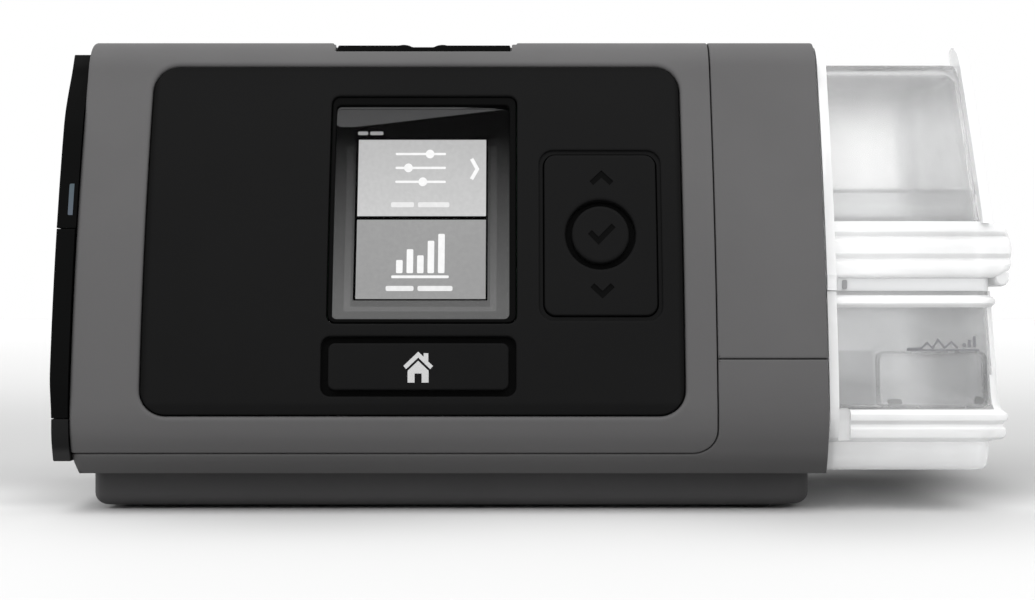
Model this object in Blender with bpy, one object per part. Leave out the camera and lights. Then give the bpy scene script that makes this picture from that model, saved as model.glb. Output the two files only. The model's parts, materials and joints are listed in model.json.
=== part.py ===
"""Bedside positive-airway-pressure machine with a slide-in heated water tub.

Metres, +Z up, front face towards -Y, tub on the +X side. The origin is the
centre of the footprint at the level of the feet. Lengths below are in
millimetres and turned into metres where each mesh is made. Heights are
measured from a datum in the plinth, LIFT above the feet.
"""

import math

import bmesh
import bpy
from mathutils import Vector

MM = 0.001
LIFT = 1.0  # height of the datum above the level of the feet

# Driving dimensions, mm
PANEL_X = -123.0  # outer face of the left side panel
SHELL_X = -118.0  # left end of the grey shell
SEAM_X = 46.0  # seam between the front cover and the tub bay
BODY_X = 74.0  # right end of the grey shell
LIP_X = 123.0  # lip of the tub lid
BACK_Y = 66.0  # rear face of the shell
OUTLET_Y = 75.0  # end of the air outlet
TOP_Z = 122.2
SEAM_Z = 14.1  # seam between the front cover and the base
BAND_Z = 8.8  # underside of the base band
PLINTH_Z = -0.6
SPLIT_Y = 8.0  # seam between front cover and rear housing
WALL = 2.4
GAP = 0.3

FASCIA = (-100.2, 37.6, 24.0, 114.6)
FASCIA_R = 6.5
SCREEN_HOLE = (-53.4, -4.8, 47.2, 106.9)
SCREEN_LENS = (-51.8, -7.1, 48.8, 104.3)
HOME_HOLE = (-54.6, -5.05, 28.8, 44.0)
HOME = (-52.7, -6.95, 30.4, 42.2)
NAV_HOLE = (0.9, 32.3, 48.0, 92.2)
NAV = (2.2, 31.0, 49.3, 90.9)
OK_X, OK_Z, OK_R, OK_HOLE_R = 16.6, 70.1, 7.5, 8.3
START = (-52.6, -6.6)

BLOWER = (-70.0, 8.0)
BLOWER_R = 27.0
PORT = (27.5, 70.0)  # y, z of the blower air port into the tub
OUTLET = (58.0, 88.0)  # x, z of the air outlet
OUTLET_R, OUTLET_BORE_R = 11.0, 9.0
TUB_FRONT = 6.0  # tub front face behind the shell's front face
TUB_BACK_Y = 62.0
TUB_X = 118.3
SKIRT_X = 116.4  # the foot of the tub, narrower than its walls


# ---------------------------------------------------------------- helpers


def material(name, rgb, rough, metal=0.0, alpha=1.0):
    mat = bpy.data.materials.new(name)
    mat.use_nodes = True
    shader = mat.node_tree.nodes["Principled BSDF"]
    shader.inputs["Base Color"].default_value = (*rgb, 1.0)
    shader.inputs["Roughness"].default_value = rough
    shader.inputs["Metallic"].default_value = metal
    shader.inputs["Alpha"].default_value = alpha
    mat.diffuse_color = (*rgb, alpha)
    return mat


def make(name, verts, faces, look=None):
    """A closed mesh object from points in millimetres, its faces turned outwards."""
    mesh = bpy.data.meshes.new(name)
    bm = bmesh.new()
    made = [bm.verts.new(Vector((x, y, z + LIFT)) * MM) for x, y, z in verts]
    for face in faces:
        bm.faces.new([made[i] for i in face])
    bmesh.ops.recalc_face_normals(bm, faces=bm.faces[:])
    bm.to_mesh(mesh)
    bm.free()
    obj = bpy.data.objects.new(name, mesh)
    bpy.context.scene.collection.objects.link(obj)
    if look is not None:
        mesh.materials.append(look)
    return obj


def loft(name, rings, look=None):
    """Skins between rings that have the same number of points, and caps both ends."""
    n = len(rings[0])
    verts = [p for ring in rings for p in ring]
    faces = [tuple(range(n)), tuple((len(rings) - 1) * n + i for i in range(n))]
    for k in range(len(rings) - 1):
        for i in range(n):
            j = (i + 1) % n
            faces.append((k * n + i, k * n + j, (k + 1) * n + j, (k + 1) * n + i))
    return make(name, verts, faces, look)


def along_x(name, outline, lo, hi, look=None):
    return loft(name, [[(x, y, z) for y, z in outline] for x in (lo, hi)], look)


def along_y(name, outline, lo, hi, look=None):
    return loft(name, [[(x, y, z) for x, z in outline] for y in (lo, hi)], look)


def along_z(name, outline, lo, hi, look=None):
    return loft(name, [[(x, y, z) for x, y in outline] for z in (lo, hi)], look)


def box(name, x, y, z, look=None):
    return along_z(name, rect(*x, *y), *z, look)


def rect(a0, a1, b0, b1):
    return [(a0, b0), (a1, b0), (a1, b1), (a0, b1)]


def rounded(a0, a1, b0, b1, r, n=4):
    """A rectangle with round corners; r is one radius or four, from the low corner round."""
    radii = r if isinstance(r, (list, tuple)) else (r,) * 4
    corners = (
        (a0, b0, 1, 1, 180),
        (a1, b0, -1, 1, 270),
        (a1, b1, -1, -1, 0),
        (a0, b1, 1, -1, 90),
    )
    out = []
    for (a, b, sa, sb, start), radius in zip(corners, radii):
        if radius < 0.05:
            out.append((a, b))
            continue
        ca, cb = a + sa * radius, b + sb * radius
        for k in range(n + 1):
            t = math.radians(start + 90 * k / n)
            out.append((ca + radius * math.cos(t), cb + radius * math.sin(t)))
    return out


def circle(a, b, r, n=24):
    return [
        (a + r * math.cos(2 * math.pi * k / n), b + r * math.sin(2 * math.pi * k / n))
        for k in range(n)
    ]


def helper(obj):
    obj.hide_render = True
    obj.display_type = "WIRE"
    return obj


def boolean(obj, other, operation):
    mod = obj.modifiers.new(f"{operation.lower()} {other.name}", "BOOLEAN")
    mod.object = helper(other)
    mod.operation = operation
    mod.solver = "EXACT"
    other.parent = obj
    return obj


def cut(obj, *others):
    for other in others:
        boolean(obj, other, "DIFFERENCE")
    return obj


def keep(obj, *others):
    for other in others:
        boolean(obj, other, "INTERSECT")
    return obj


def join(obj, *others):
    for other in others:
        boolean(obj, other, "UNION")
    return obj


def smooth(obj, degrees=35):
    obj.data.shade_smooth()
    obj.data.set_sharp_from_angle(angle=math.radians(degrees))
    return obj


def on_axis(name, point, *objs):
    """Parents moving pieces to an empty that sits on their joint's axis."""
    empty = bpy.data.objects.new(f"{name}_axis", None)
    empty.empty_display_size = 0.01
    empty.location = (Vector(point) + Vector((0, 0, LIFT))) * MM
    bpy.context.scene.collection.objects.link(empty)
    bpy.context.view_layer.update()
    for obj in objs:
        obj.parent = empty
        obj.matrix_parent_inverse = empty.matrix_world.inverted()


# ------------------------------------------------------- the outer surface


def front_y(z):
    """Depth of the front face at a height: it leans back as it rises, and the chin tucks in."""
    if z >= 26.0:
        d = z - 26.0
        return -74.85 + 0.1504 * d + 0.00194 * d * d
    chin = (
        (8.8, -69.1),
        (9.8, -70.0),
        (12.0, -71.7),
        (14.1, -72.8),
        (18.0, -74.35),
        (21.0, -74.9),
        (23.8, -75.0),
        (26.0, -74.85),
    )
    for (z0, y0), (z1, y1) in zip(chin, chin[1:]):
        if z <= z1:
            return y0 + (y1 - y0) * (z - z0) / (z1 - z0)
    return chin[-1][1]


def tilt(z):
    return math.atan2(front_y(z + 0.5) - front_y(z - 0.5), 1.0)


def face_point(z, depth):
    """(y, z) of the point at a depth behind the front face, measured square to it."""
    t = tilt(z)
    return (front_y(z) + depth * math.cos(t), z - depth * math.sin(t))


def strip(name, x0, x1, z0, z1, near, far, look=None, steps=8):
    """A sheet parallel to the front face, between two depths behind it."""
    heights = [z0 + (z1 - z0) * k / steps for k in range(steps + 1)]
    outline = [face_point(z, near) for z in heights]
    outline += [face_point(z, far) for z in reversed(heights)]
    return along_x(name, outline, x0, x1, look)


def plate(name, outline, near, far, look, steps=8):
    """A plate cut from such a sheet by an outline seen from the front."""
    xs = [p[0] for p in outline]
    zs = [p[1] for p in outline]
    obj = strip(
        name, min(xs) - 1, max(xs) + 1, min(zs) - 3, max(zs) + 5, near, far, look, steps
    )
    return keep(obj, along_y(f"{name}_outline", outline, -95, -20))


def body_outline(inset=0.0, low=SEAM_Z + 0.15):
    """Side outline (y, z) of the shell, from its front lower edge over the top and down."""
    outer = [
        (front_y(z), z)
        for z in (low, 18, 21, 23.8, 26, 36, 47, 58, 69, 80, 91, 102, 111)
    ]
    outer += [(-46.5, 114.6), (-44.8, 117.4), (-42.1, 119.9), (-38.8, 121.5)]
    outer += [(-34.0, TOP_Z), (44.0, TOP_Z), (51.0, 121.5), (57.0, 119.1)]
    outer += [(61.8, 115.1), (64.8, 109.6), (BACK_Y, 103.0), (BACK_Y, low)]
    if not inset:
        return outer
    out = []
    for i, (y, z) in enumerate(outer):
        y0, z0 = outer[max(i - 1, 0)]
        y1, z1 = outer[min(i + 1, len(outer) - 1)]
        length = math.hypot(y1 - y0, z1 - z0)
        out.append((y + (z1 - z0) / length * inset, z - (y1 - y0) / length * inset))
    return out


# ------------------------------------------------------------------ looks

for old in list(bpy.data.objects):
    bpy.data.objects.remove(old, do_unlink=True)

GREY = material("shell_grey", (0.145, 0.14, 0.142), 0.45)
BASE_GREY = material("base_grey", (0.1, 0.098, 0.1), 0.5)
BLACK = material("fascia_black", (0.013, 0.013, 0.013), 0.35)
SIDE_BLACK = material("side_black", (0.01, 0.01, 0.01), 0.4)
RAIL = material("rail_grey", (0.03, 0.03, 0.03), 0.5)
BUTTON = material("button_black", (0.012, 0.012, 0.012), 0.32)
LENS = material("screen_glass", (0.35, 0.35, 0.36), 0.05, 0.0, 0.3)
BEZEL = material("bezel_black", (0.006, 0.006, 0.006), 0.3)
LCD = material("display", (0.45, 0.46, 0.47), 0.2)
LIGHT = material("light_guide", (0.45, 0.6, 0.8), 0.2)
BOARD = material("circuit_board", (0.02, 0.12, 0.05), 0.5)
STEEL = material("steel", (0.5, 0.5, 0.5), 0.3, 1.0)
ALLOY = material("alloy", (0.6, 0.6, 0.62), 0.35, 1.0)
RUBBER = material("rubber", (0.03, 0.03, 0.03), 0.9)
SILICONE = material("silicone", (0.55, 0.56, 0.58), 0.6)
INNER = material("inner_plastic", (0.06, 0.06, 0.065), 0.5)
CLEAR = material("clear_plastic", (0.85, 0.87, 0.88), 0.08, 0.0, 0.35)
FOAM = material("filter_foam", (0.6, 0.62, 0.64), 0.95)
CARD = material("card_blue", (0.03, 0.06, 0.16), 0.4)
RIBBON = material("ribbon", (0.5, 0.35, 0.12), 0.5)


# -------------------------------------------------------- base and shells


def base_housing():
    """Base tray, plinth and tub bay sleeve: one moulding, seen to the right of and below the front cover."""
    low = rounded(-115.4, 73.0, front_y(BAND_Z), 64.4, (7, 0, 0, 7))
    high = rounded(-117.4, BODY_X, front_y(SEAM_Z), BACK_Y, (7, 0, 0, 7))
    obj = loft(
        "base_housing",
        [
            [(x, y, BAND_Z) for x, y in low],
            [(x, y, SEAM_Z - 0.15) for x, y in high],
        ],
        BASE_GREY,
    )
    foot = rounded(-110.5, 68.2, -57.5, 60.0, 7)
    wide = rounded(-113.5, 71.2, -60.0, 62.5, 8)
    plinth = loft(
        "base_plinth",
        [
            [(x, y, PLINTH_Z) for x, y in foot],
            [(x, y, 2.6) for x, y in wide],
            [(x, y, BAND_Z + 1.5) for x, y in wide],
        ],
    )
    sleeve = along_x(
        "bay_sleeve", body_outline(0.0, SEAM_Z - 1.2), SEAM_X + 0.15, BODY_X
    )
    corner = [(SEAM_X - 7.0, SEAM_Z - 0.6), (SEAM_X + 0.6, SEAM_Z - 0.6)]
    corner += [(SEAM_X + 0.6, SEAM_Z + 7.0), (SEAM_X - 0.15 + 0.3, SEAM_Z + 7.0)]
    for k in range(5):
        t = math.radians(90 * k / 4)
        corner.append(
            (
                SEAM_X - 6.35 + 6.5 * math.cos(t),
                SEAM_Z + 6.35 - 6.5 * math.sin(t),
            )
        )
    web = keep(
        strip("corner_web_sheet", 35, 50, 10, 24, 0.0, WALL),
        along_y("corner_web_outline", corner, -95, -60),
    )
    join(obj, plinth, sleeve, web)
    cut(
        obj,
        box("tray_hollow", (-110.6, 68.6), (-57.4, 60.0), (3.0, 40.0)),
        along_x(
            "sleeve_hollow",
            body_outline(WALL, SEAM_Z - 0.15),
            SEAM_X - 8.0,
            BODY_X + 5,
        ),
        along_y("outlet_hole", circle(*OUTLET, OUTLET_R + 0.4), 55, 80),
    )
    for i, (x, y) in enumerate(FEET):
        cut(obj, along_z(f"foot_seat_{i}", circle(x, y, 6.5, 16), -3, 0.8))
    for i, (x, y) in enumerate(SCREWS):
        cut(
            obj,
            along_z(f"screw_seat_{i}", circle(x, y, 3.3, 12), -3, 2.0),
            along_z(f"screw_hole_{i}", circle(x, y, 1.8, 12), -4, 8.0),
        )
    for i, (x, y) in enumerate(((-94, -22), (6, -28), (-94, 50), (6, 50))):
        join(obj, box(f"board_post_{i}", (x - 2, x + 2), (y - 2, y + 2), (2.0, 16.3)))
    for i, y in enumerate((-12.0, 16.0)):
        join(obj, box(f"heater_rib_{i}", (30.0, 56.0), (y, y + 2.0), (2.0, 11.7)))
    return smooth(obj)


FEET = [(-98.0, -46.0), (56.0, -46.0), (-98.0, 48.0), (56.0, 48.0)]
SCREWS = [(-104.0, -30.0), (-104.0, 30.0), (62.0, -30.0), (62.0, 36.0)]


def boss(name, x, y, top):
    """A screw boss with its pilot hole."""
    post = along_z(name, circle(x, y, 3.2, 12), 3.4, top)
    return cut(post, along_z(f"{name}_pilot", circle(x, y, 1.6, 12), 2, 13.5))


def front_cover():
    outer = [p for p in body_outline() if p[0] <= SPLIT_Y]
    solid = outer + [(SPLIT_Y, TOP_Z), (SPLIT_Y, SEAM_Z + 0.15)]
    obj = along_x("front_cover", solid, SHELL_X, SEAM_X - 0.15, GREY)
    inner = [p for p in body_outline(WALL) if p[0] <= SPLIT_Y]
    inner = [(inner[0][0], 5.0)] + inner
    inner += [(SPLIT_Y + 9, TOP_Z - WALL), (SPLIT_Y + 9, 5.0)]
    cut(obj, along_x("front_hollow", inner, SHELL_X + WALL, SEAM_X + 9))
    left = boss("front_boss", *SCREWS[0], 24.0)
    rib = box("front_rib", (-116.5, -104.0), (-31.2, -28.8), (15.0, 24.0))
    join(obj, rib, left)
    # Rounded corners as seen from the front
    keep(
        obj,
        along_y(
            "front_outline",
            rounded(SHELL_X, SEAM_X - 0.15, 0.0, TOP_Z + 0.5, (0, 0, 0, 3.5)),
            -90,
            40,
        ),
    )
    notch = [(SEAM_X + 3, SEAM_Z - 12), (SEAM_X + 3, SEAM_Z + 6.35)]
    for k in range(5):
        t = math.radians(90 * k / 4)
        notch.append(
            (
                SEAM_X - 6.35 + 6.2 * math.cos(t),
                SEAM_Z + 6.35 - 6.2 * math.sin(t),
            )
        )
    notch.append((SEAM_X - 6.35, SEAM_Z - 12))
    a0, a1, b0, b1 = FASCIA
    cut(
        obj,
        along_y("front_corner", notch, -90, -50),
        along_y(
            "fascia_hole",
            rounded(a0 - GAP, a1 + GAP, b0 - GAP, b1 + GAP, FASCIA_R + GAP),
            -95,
            -38.5,
        ),
        box("start_recess", (-54.2, -4.7), (-60, -22.6), (TOP_Z - 0.7, 130)),
        box("start_hole", (START[0] - 0.4, START[1] + 0.4), (-43.0, -23.6), (110, 130)),
        box("card_slot", (-125, -110), (-59.4, -33.4), (43.6, 48.4)),
    )
    return smooth(obj)


def rear_housing():
    outer = [p for p in body_outline() if p[0] >= SPLIT_Y + GAP]
    solid = [(SPLIT_Y + GAP, SEAM_Z + 0.15), (SPLIT_Y + GAP, TOP_Z)] + outer
    obj = along_x("rear_housing", solid, SHELL_X, SEAM_X - 0.15, GREY)
    inner = [p for p in body_outline(WALL) if p[0] > SPLIT_Y]
    inner = [(-5, 5.0), (-5, TOP_Z - WALL)] + inner + [(BACK_Y - WALL, 5.0)]
    cut(obj, along_x("rear_hollow", inner, SHELL_X + WALL, SEAM_X + 9))
    left = boss("rear_boss", *SCREWS[1], 24.0)
    rib = box("rear_rib", (-116.5, -104.0), (28.8, 31.2), (15.0, 24.0))
    ears = [
        box(f"clip_ear_{i}", (x, x + 2.4), (64.5, 70.0), (41.5, 47.0))
        for i, x in enumerate((-43.0, -19.4))
    ]
    join(obj, rib, left, *ears)
    keep(
        obj,
        along_y(
            "rear_outline",
            rounded(SHELL_X, SEAM_X - 0.15, 0.0, TOP_Z + 0.5, (0, 0, 0, 3.5)),
            -20,
            90,
        ),
    )
    cut(
        obj,
        along_x("clip_hole", circle(67.8, 44.2, 1.4, 12), -60, 0),
        box("filter_hole", (-101.4, -58.6), (55, 80), (21.6, 56.4)),
        box("power_hole", (-38.3, -21.7), (55, 80), (24.7, 39.3)),
        box("adapter_hole", (-125, -110), (13.6, 34.4), (38.6, 55.4)),
    )
    return smooth(obj)


# ------------------------------------------------------------ left side


def side_outline(z0, z1, y1, inset=0.0, steps=6):
    """Side-view outline of a left-side piece whose front edge follows the front face."""
    heights = [z0 + (z1 - z0) * k / steps for k in range(steps + 1)]
    return (
        [(y1 - inset, z0 + inset)]
        + [(front_y(z) + 0.4 + inset, min(max(z, z0 + inset), z1 - inset)) for z in heights]
        + [(y1 - inset, z1 - inset)]
    )


def side_piece(name, outline, hollow, look):
    """A side cover with a flat outer face and a pocket towards the shell."""
    obj = along_x(name, outline, PANEL_X, SHELL_X - GAP, look)
    return cut(obj, along_x(f"{name}_pocket", hollow, PANEL_X + 2.0, SHELL_X + 3))


def side_panel():
    top = [(front_y(z) + 0.4, z) for z in (72.0, 80, 88, 96, 104, 111)]
    top += [(-45.0, 114.8), (-41.5, 117.2), (-37.5, 118.1), (46.0, 118.1)]
    top += [(53.0, 116.6), (58.0, 112.0), (60.0, 105.0), (60.0, 72.0)]
    pocket = [(-50.0, 76.0), (-40.0, 106.0), (-36.0, 112.0), (46.0, 112.0)]
    pocket += [(54.0, 104.0), (54.0, 76.0)]
    obj = side_piece("side_panel", top, pocket, SIDE_BLACK)
    cut(obj, box("light_slot", (-121.1, -118.1), (-80, -52.0), (74.7, 83.3)))
    return smooth(obj)


def light_guide():
    outline = [(front_y(75) + 0.6, 75.0), (front_y(83) + 0.6, 83.0)]
    outline += [(-52.6, 83.0), (-52.6, 75.0)]
    return along_x("led_light_guide", outline, -120.8, -118.8, LIGHT)


def card_cover():
    obj = side_piece(
        "card_cover",
        side_outline(23.2, 71.4, -21.6),
        rect(-62.0, -25.0, 27.0, 67.0),
        SIDE_BLACK,
    )
    return smooth(obj)


def adapter_cover():
    obj = side_piece(
        "adapter_cover",
        rounded(-21.0, 60.0, 23.2, 71.4, (0, 4, 4, 0)),
        rect(-17.0, 54.0, 27.0, 67.0),
        SIDE_BLACK,
    )
    return smooth(obj)


def side_rail():
    heights = (12.0, 15.0, 18.0, 22.6)
    outline = [(front_y(z) + 0.4, z) for z in heights]
    outline += [(60.0, 22.6), (60.0, 12.0)]
    return along_x("side_rail", outline, PANEL_X, SHELL_X - GAP, RAIL)


# ------------------------------------------------------- front controls


def fascia_panel():
    obj = plate("fascia_panel", rounded(*FASCIA, FASCIA_R), 0.25, 2.8, BLACK, 9)
    cut(
        obj,
        along_y("screen_hole", rounded(*SCREEN_HOLE, 2.0, 3), -95, -20),
        along_y("home_hole", rounded(*HOME_HOLE, 2.2, 3), -95, -20),
        along_y("nav_hole", rounded(*NAV_HOLE, 3.4, 3), -95, -20),
    )
    # Posts that carry the display board
    for i, (x, z, y0, y1) in enumerate(
        ((-76, 36, -71.2, -64.3), (-76, 98, -52.0, -45.2), (8, 100, -51.2, -44.6))
    ):
        join(obj, box(f"fascia_post_{i}", (x - 2, x + 2), (y0, y1), (z - 2, z + 2)))
    return smooth(obj)


def screen():
    a0, a1, b0, b1 = SCREEN_HOLE
    bezel = plate(
        "screen_bezel",
        rounded(a0 + GAP, a1 - GAP, b0 + GAP, b1 - GAP, 1.8, 3),
        0.7,
        3.4,
        BEZEL,
        5,
    )
    c0, c1, d0, d1 = SCREEN_LENS
    cut(
        bezel,
        along_y(
            "bezel_hole", rounded(c0 - GAP, c1 + GAP, d0 - GAP, d1 + GAP, 0.9, 2), -95, -20
        ),
    )
    plate("screen_lens", rounded(*SCREEN_LENS, 0.8, 2), 1.6, 2.8, LENS, 5)
    y0, z0 = face_point(52.0, 4.2)
    y1, z1 = face_point(103.0, 4.2)
    length = math.hypot(y1 - y0, z1 - z0)
    back = (2.6 * (z1 - z0) / length, -2.6 * (y1 - y0) / length)
    outline = [(y0, z0), (y1, z1), (y1 + back[0], z1 + back[1])]
    outline.append((y0 + back[0], z0 + back[1]))
    along_x("lcd_module", outline, -50.5, -8.5, LCD)


def buttons():
    home = plate("home_button", rounded(*HOME, 1.4, 3), 0.0, 3.0, BUTTON, 3)
    nav = plate("nav_rocker", rounded(*NAV, 2.6, 3), 0.2, 2.8, BUTTON, 6)
    cut(nav, along_y("nav_bore", circle(OK_X, OK_Z, OK_HOLE_R, 32), -95, -20))
    ok = plate("ok_button", circle(OK_X, OK_Z, OK_R, 32), 0.1, 3.0, BUTTON, 3)
    start = along_x(
        "start_button",
        [
            (-42.6, 112.0),
            (-42.6, 118.8),
            (-41.4, 120.0),
            (-38.4, 121.1),
            (-34.6, TOP_Z - 0.7),
            (-24.0, TOP_Z - 0.7),
            (-24.0, 112.0),
        ],
        *START,
        BUTTON,
    )
    for obj in (home, nav, ok):
        smooth(obj)
    on_axis("home_button", (-29.8, *face_point(36.3, 1.5)), home)
    on_axis("nav_rocker", (OK_X, *face_point(OK_Z, 1.5)), nav)
    on_axis("ok_button", (OK_X, *face_point(OK_Z, 1.5)), ok)
    on_axis("start_button", (-29.6, -33.3, 116.0), start)
    mat_outline = [(-57, 27), (34.5, 27), (34.5, 94), (-2.0, 94), (-2.0, 45.6), (-57, 45.6)]
    plate("button_mat", mat_outline, 4.4, 5.4, SILICONE, 5)


def boards():
    """Display board behind the fascia, main board over the base, and the ribbon between them."""
    back = (1.6 * 0.955, -1.6 * 0.297)
    low, high = (-66.0, 27.0), (-41.5, 106.0)
    outline = [low, high, (high[0] + back[0], high[1] + back[1])]
    outline.append((low[0] + back[0], low[1] + back[1]))
    along_x("display_board", outline, -81.0, 14.5, BOARD)
    main = box("main_board", (-100.2, 12.0), (-34.0, 56.0), (16.6, 18.2), BOARD)
    parts = (
        ((-60.0, -46.0), (-32.0, -20.0), (17.5, 21.0)),
        ((-20.0, 4.0), (-14.0, 8.0), (17.5, 20.6)),
        ((-16.0, -4.0), (20.0, 30.0), (17.5, 28.0)),
        ((0.0, 8.0), (34.0, 42.0), (17.5, 30.0)),
        ((-99.0, -84.0), (-33.0, -27.0), (17.5, 22.0)),
    )
    join(main, *[box(f"component_{i}", *p) for i, p in enumerate(parts)])
    path = [(-62.6, 28.6), (-56.0, 27.0), (-48.0, 25.6), (-37.0, 24.6), (-30.0, 24.2)]
    ribbon = path + [(y, z - 0.6) for y, z in reversed(path)]
    along_x("display_ribbon", ribbon, -78.0, -66.0, RIBBON)


def card():
    """Memory card in its push-push socket behind the card cover."""
    piece = box("memory_card", (-118.2, -86.2), (-58.4, -34.4), (44.9, 47.0), CARD)
    socket = box("card_socket", (-114.6, -82.4), (-60.4, -32.4), (42.4, 49.6), STEEL)
    cut(socket, box("card_space", (-120, -84.4), (-58.9, -33.9), (44.4, 47.5)))
    on_axis("memory_card", (-102.2, -46.4, 45.95), piece)


# ------------------------------------------------------------- air path


def turned(name, profile, x, y, look, n=32):
    """A closed ring or drum turned about a vertical axis; profile is (r, z), all off the axis."""
    count = len(profile)
    verts, faces = [], []
    for k in range(n):
        t = 2 * math.pi * k / n
        verts += [(x + r * math.cos(t), y + r * math.sin(t), z) for r, z in profile]
    for k in range(n):
        for i in range(count):
            j = (i + 1) % count
            a, b = k * count, ((k + 1) % n) * count
            faces.append((a + i, a + j, b + j, b + i))
    return make(name, verts, faces, look)


def air_path():
    x, y = BLOWER
    r = BLOWER_R
    muffler = box("inlet_muffler", (-101.0, -44.0), (-30.0, 55.6), (31.0, 55.0), INNER)
    cut(
        muffler,
        box("muffler_hollow", (-99.0, -46.0), (-28.0, 60.0), (33.0, 53.0)),
        along_z("muffler_hole", circle(x, y, 9.0, 20), 50, 60),
    )
    for i, (a, b) in enumerate(((-97, -18), (-50, -10), (-97, 46), (-50, 46))):
        join(muffler, box(f"muffler_leg_{i}", (a - 2, a + 2), (b - 2, b + 2), (18.5, 32.0)))
    mount = [(10.0, 55.4), (19.0, 55.4), (17.0, 57.5), (19.0, 59.6), (10.0, 59.6)]
    smooth(turned("blower_mount", mount, x, y, SILICONE, 20))
    lower = [(9.0, 60.0), (r, 60.0), (r, 77.0), (r - 1.8, 77.0), (r - 1.8, 61.8), (9.0, 61.8)]
    volute = turned("blower_housing_lower", lower, x, y, INNER)
    duct = box("blower_duct", (x + 4, 11.6), (21.5, 33.5), (64.0, 76.0))
    join(volute, duct)
    cut(
        volute,
        box("duct_bore", (x + 8, 20.0), (23.2, 31.8), (65.8, 74.2)),
        along_z("volute_space", circle(x, y, r - 1.8, 32), 61.8, 90),
    )
    upper = [(2.2, 77.3), (r, 77.3), (r, 79.3), (18.0, 79.3), (16.6, 81.0), (2.2, 81.0)]
    smooth(turned("blower_housing_upper", upper, x, y, INNER))
    hub = [(1.9, 64.0), (9.0, 64.0), (21.5, 65.0), (21.5, 66.4), (9.0, 66.4), (6.0, 74.5)]
    hub += [(1.9, 74.5)]
    wheel = turned("impeller", hub, x, y, SILICONE, 28)
    blades = []
    for k in range(9):
        a = 2 * math.pi * k / 9
        pts = []
        for radius, sweep in ((7.0, 0.0), (13.0, 0.28), (21.0, 0.75)):
            pts.append((radius, a + sweep))
        side0 = [(x + q * math.cos(w), y + q * math.sin(w)) for q, w in pts]
        side1 = [
            (x + q * math.cos(w + 0.9 / q), y + q * math.sin(w + 0.9 / q))
            for q, w in reversed(pts)
        ]
        blades.append(along_z(f"blade_{k}", side0 + side1, 65.2, 73.5))
    join(wheel, *blades)
    shaft = along_z("motor_shaft", circle(x, y, 1.5, 12), 64.2, 92.0, STEEL)
    can = [(2.0, 81.4), (15.0, 81.4), (15.0, 93.0), (13.5, 95.0), (2.0, 95.0)]
    smooth(turned("blower_motor", can, x, y, STEEL, 28))
    on_axis("impeller", (x, y, 70.0), wheel, shaft)
    flow = box("flow_sensor", (-34.0, -14.0), (22.0, 33.0), (76.4, 83.0), INNER)
    join(flow, box("flow_plug", (-28.0, -20.0), (24.0, 30.0), (82.0, 87.0)))
    ring = tube_x("bay_air_seal", *PORT, 9.2, 5.6, 11.9, 16.6, SILICONE)
    smooth(ring)
    box("air_filter", (-97.6, -62.4), (56.4, 60.6), (26.0, 52.0), FOAM)
    outlet = along_y("air_outlet", circle(*OUTLET, OUTLET_R, 32), 53.6, OUTLET_Y, GREY)
    join(outlet, along_y("outlet_flange", circle(*OUTLET, 14.0, 32), 60.4, 63.1))
    cut(outlet, along_y("outlet_bore", circle(*OUTLET, OUTLET_BORE_R, 32), 40, 90))
    smooth(outlet)
    seal = along_y("outlet_seal", circle(*OUTLET, 12.4, 24), 51.3, 53.3, SILICONE)
    cut(seal, along_y("seal_bore", circle(*OUTLET, 9.0, 24), 40, 60))


def tube_x(name, y, z, r, bore, x0, x1, look, n=24):
    obj = along_x(name, circle(y, z, r, n), x0, x1, look)
    return cut(obj, along_x(f"{name}_bore", circle(y, z, bore, n), x0 - 5, x1 + 5))


def rear_fittings():
    cover = box("filter_cover", (-101.0, -59.0), (61.2, BACK_Y), (22.0, 56.0), GREY)
    cut(cover, box("filter_cover_pocket", (-98.6, -61.4), (50, 63.6), (25.0, 53.0)))
    for k in range(7):
        z = 28.0 + 3.6 * k
        cut(cover, box(f"vent_{k}", (-95.0, -65.0), (60, 70), (z, z + 1.8)))
    on_axis("filter_cover", (-100.7, 65.7, 39.0), cover)
    socket = box("power_socket", (-38.0, -22.0), (50.0, BACK_Y - 0.2), (25.0, 39.0), INNER)
    cut(socket, box("power_bore", (-34.5, -25.5), (56.0, 80.0), (28.2, 35.8)))
    clip = box("retention_clip", (-40.0, -20.0), (66.6, 69.2), (43.2, 62.0), INNER)
    cut(clip, box("clip_window", (-36.0, -24.0), (60, 80), (47.0, 57.5)))
    join(clip, along_x("clip_trunnion", circle(67.8, 44.2, 1.0, 12), -42.4, -17.6))
    on_axis("retention_clip", (-30.0, 67.8, 44.2), clip)
    port = box("adapter_port", (-117.2, -104.0), (14.0, 34.0), (39.0, 55.0), INNER)
    cut(port, box("adapter_port_bore", (-120, -108.0), (17.0, 31.0), (43.0, 51.0)))


# ------------------------------------------------------------ water side


def bay():
    """Tub bay: a liner open towards +X, with the heater plate let into its floor."""
    obj = box("bay_liner", (17.0, 73.6), (-43.8, 51.0), (15.0, 112.2), INNER)
    cut(obj, box("bay_space", (18.6, 80.0), (-42.2, 49.4), (16.6, 110.6)))
    join(obj, boss("bay_boss_0", *SCREWS[2], 15.8), boss("bay_boss_1", *SCREWS[3], 15.8))
    cut(
        obj,
        box("heater_hole", (27.7, 58.3), (-25.3, 31.3), (10.0, 20.0)),
        along_x("bay_port", circle(*PORT, 6.4, 20), 10, 22),
        along_y("bay_outlet", circle(*OUTLET, 9.4, 24), 46, 56),
    )
    box("heater_plate", (28.0, 58.0), (-25.0, 31.0), (14.6, 16.8), ALLOY)
    box("heater_pad", (28.0, 58.0), (-25.0, 31.0), (12.0, 14.3), SILICONE)


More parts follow.
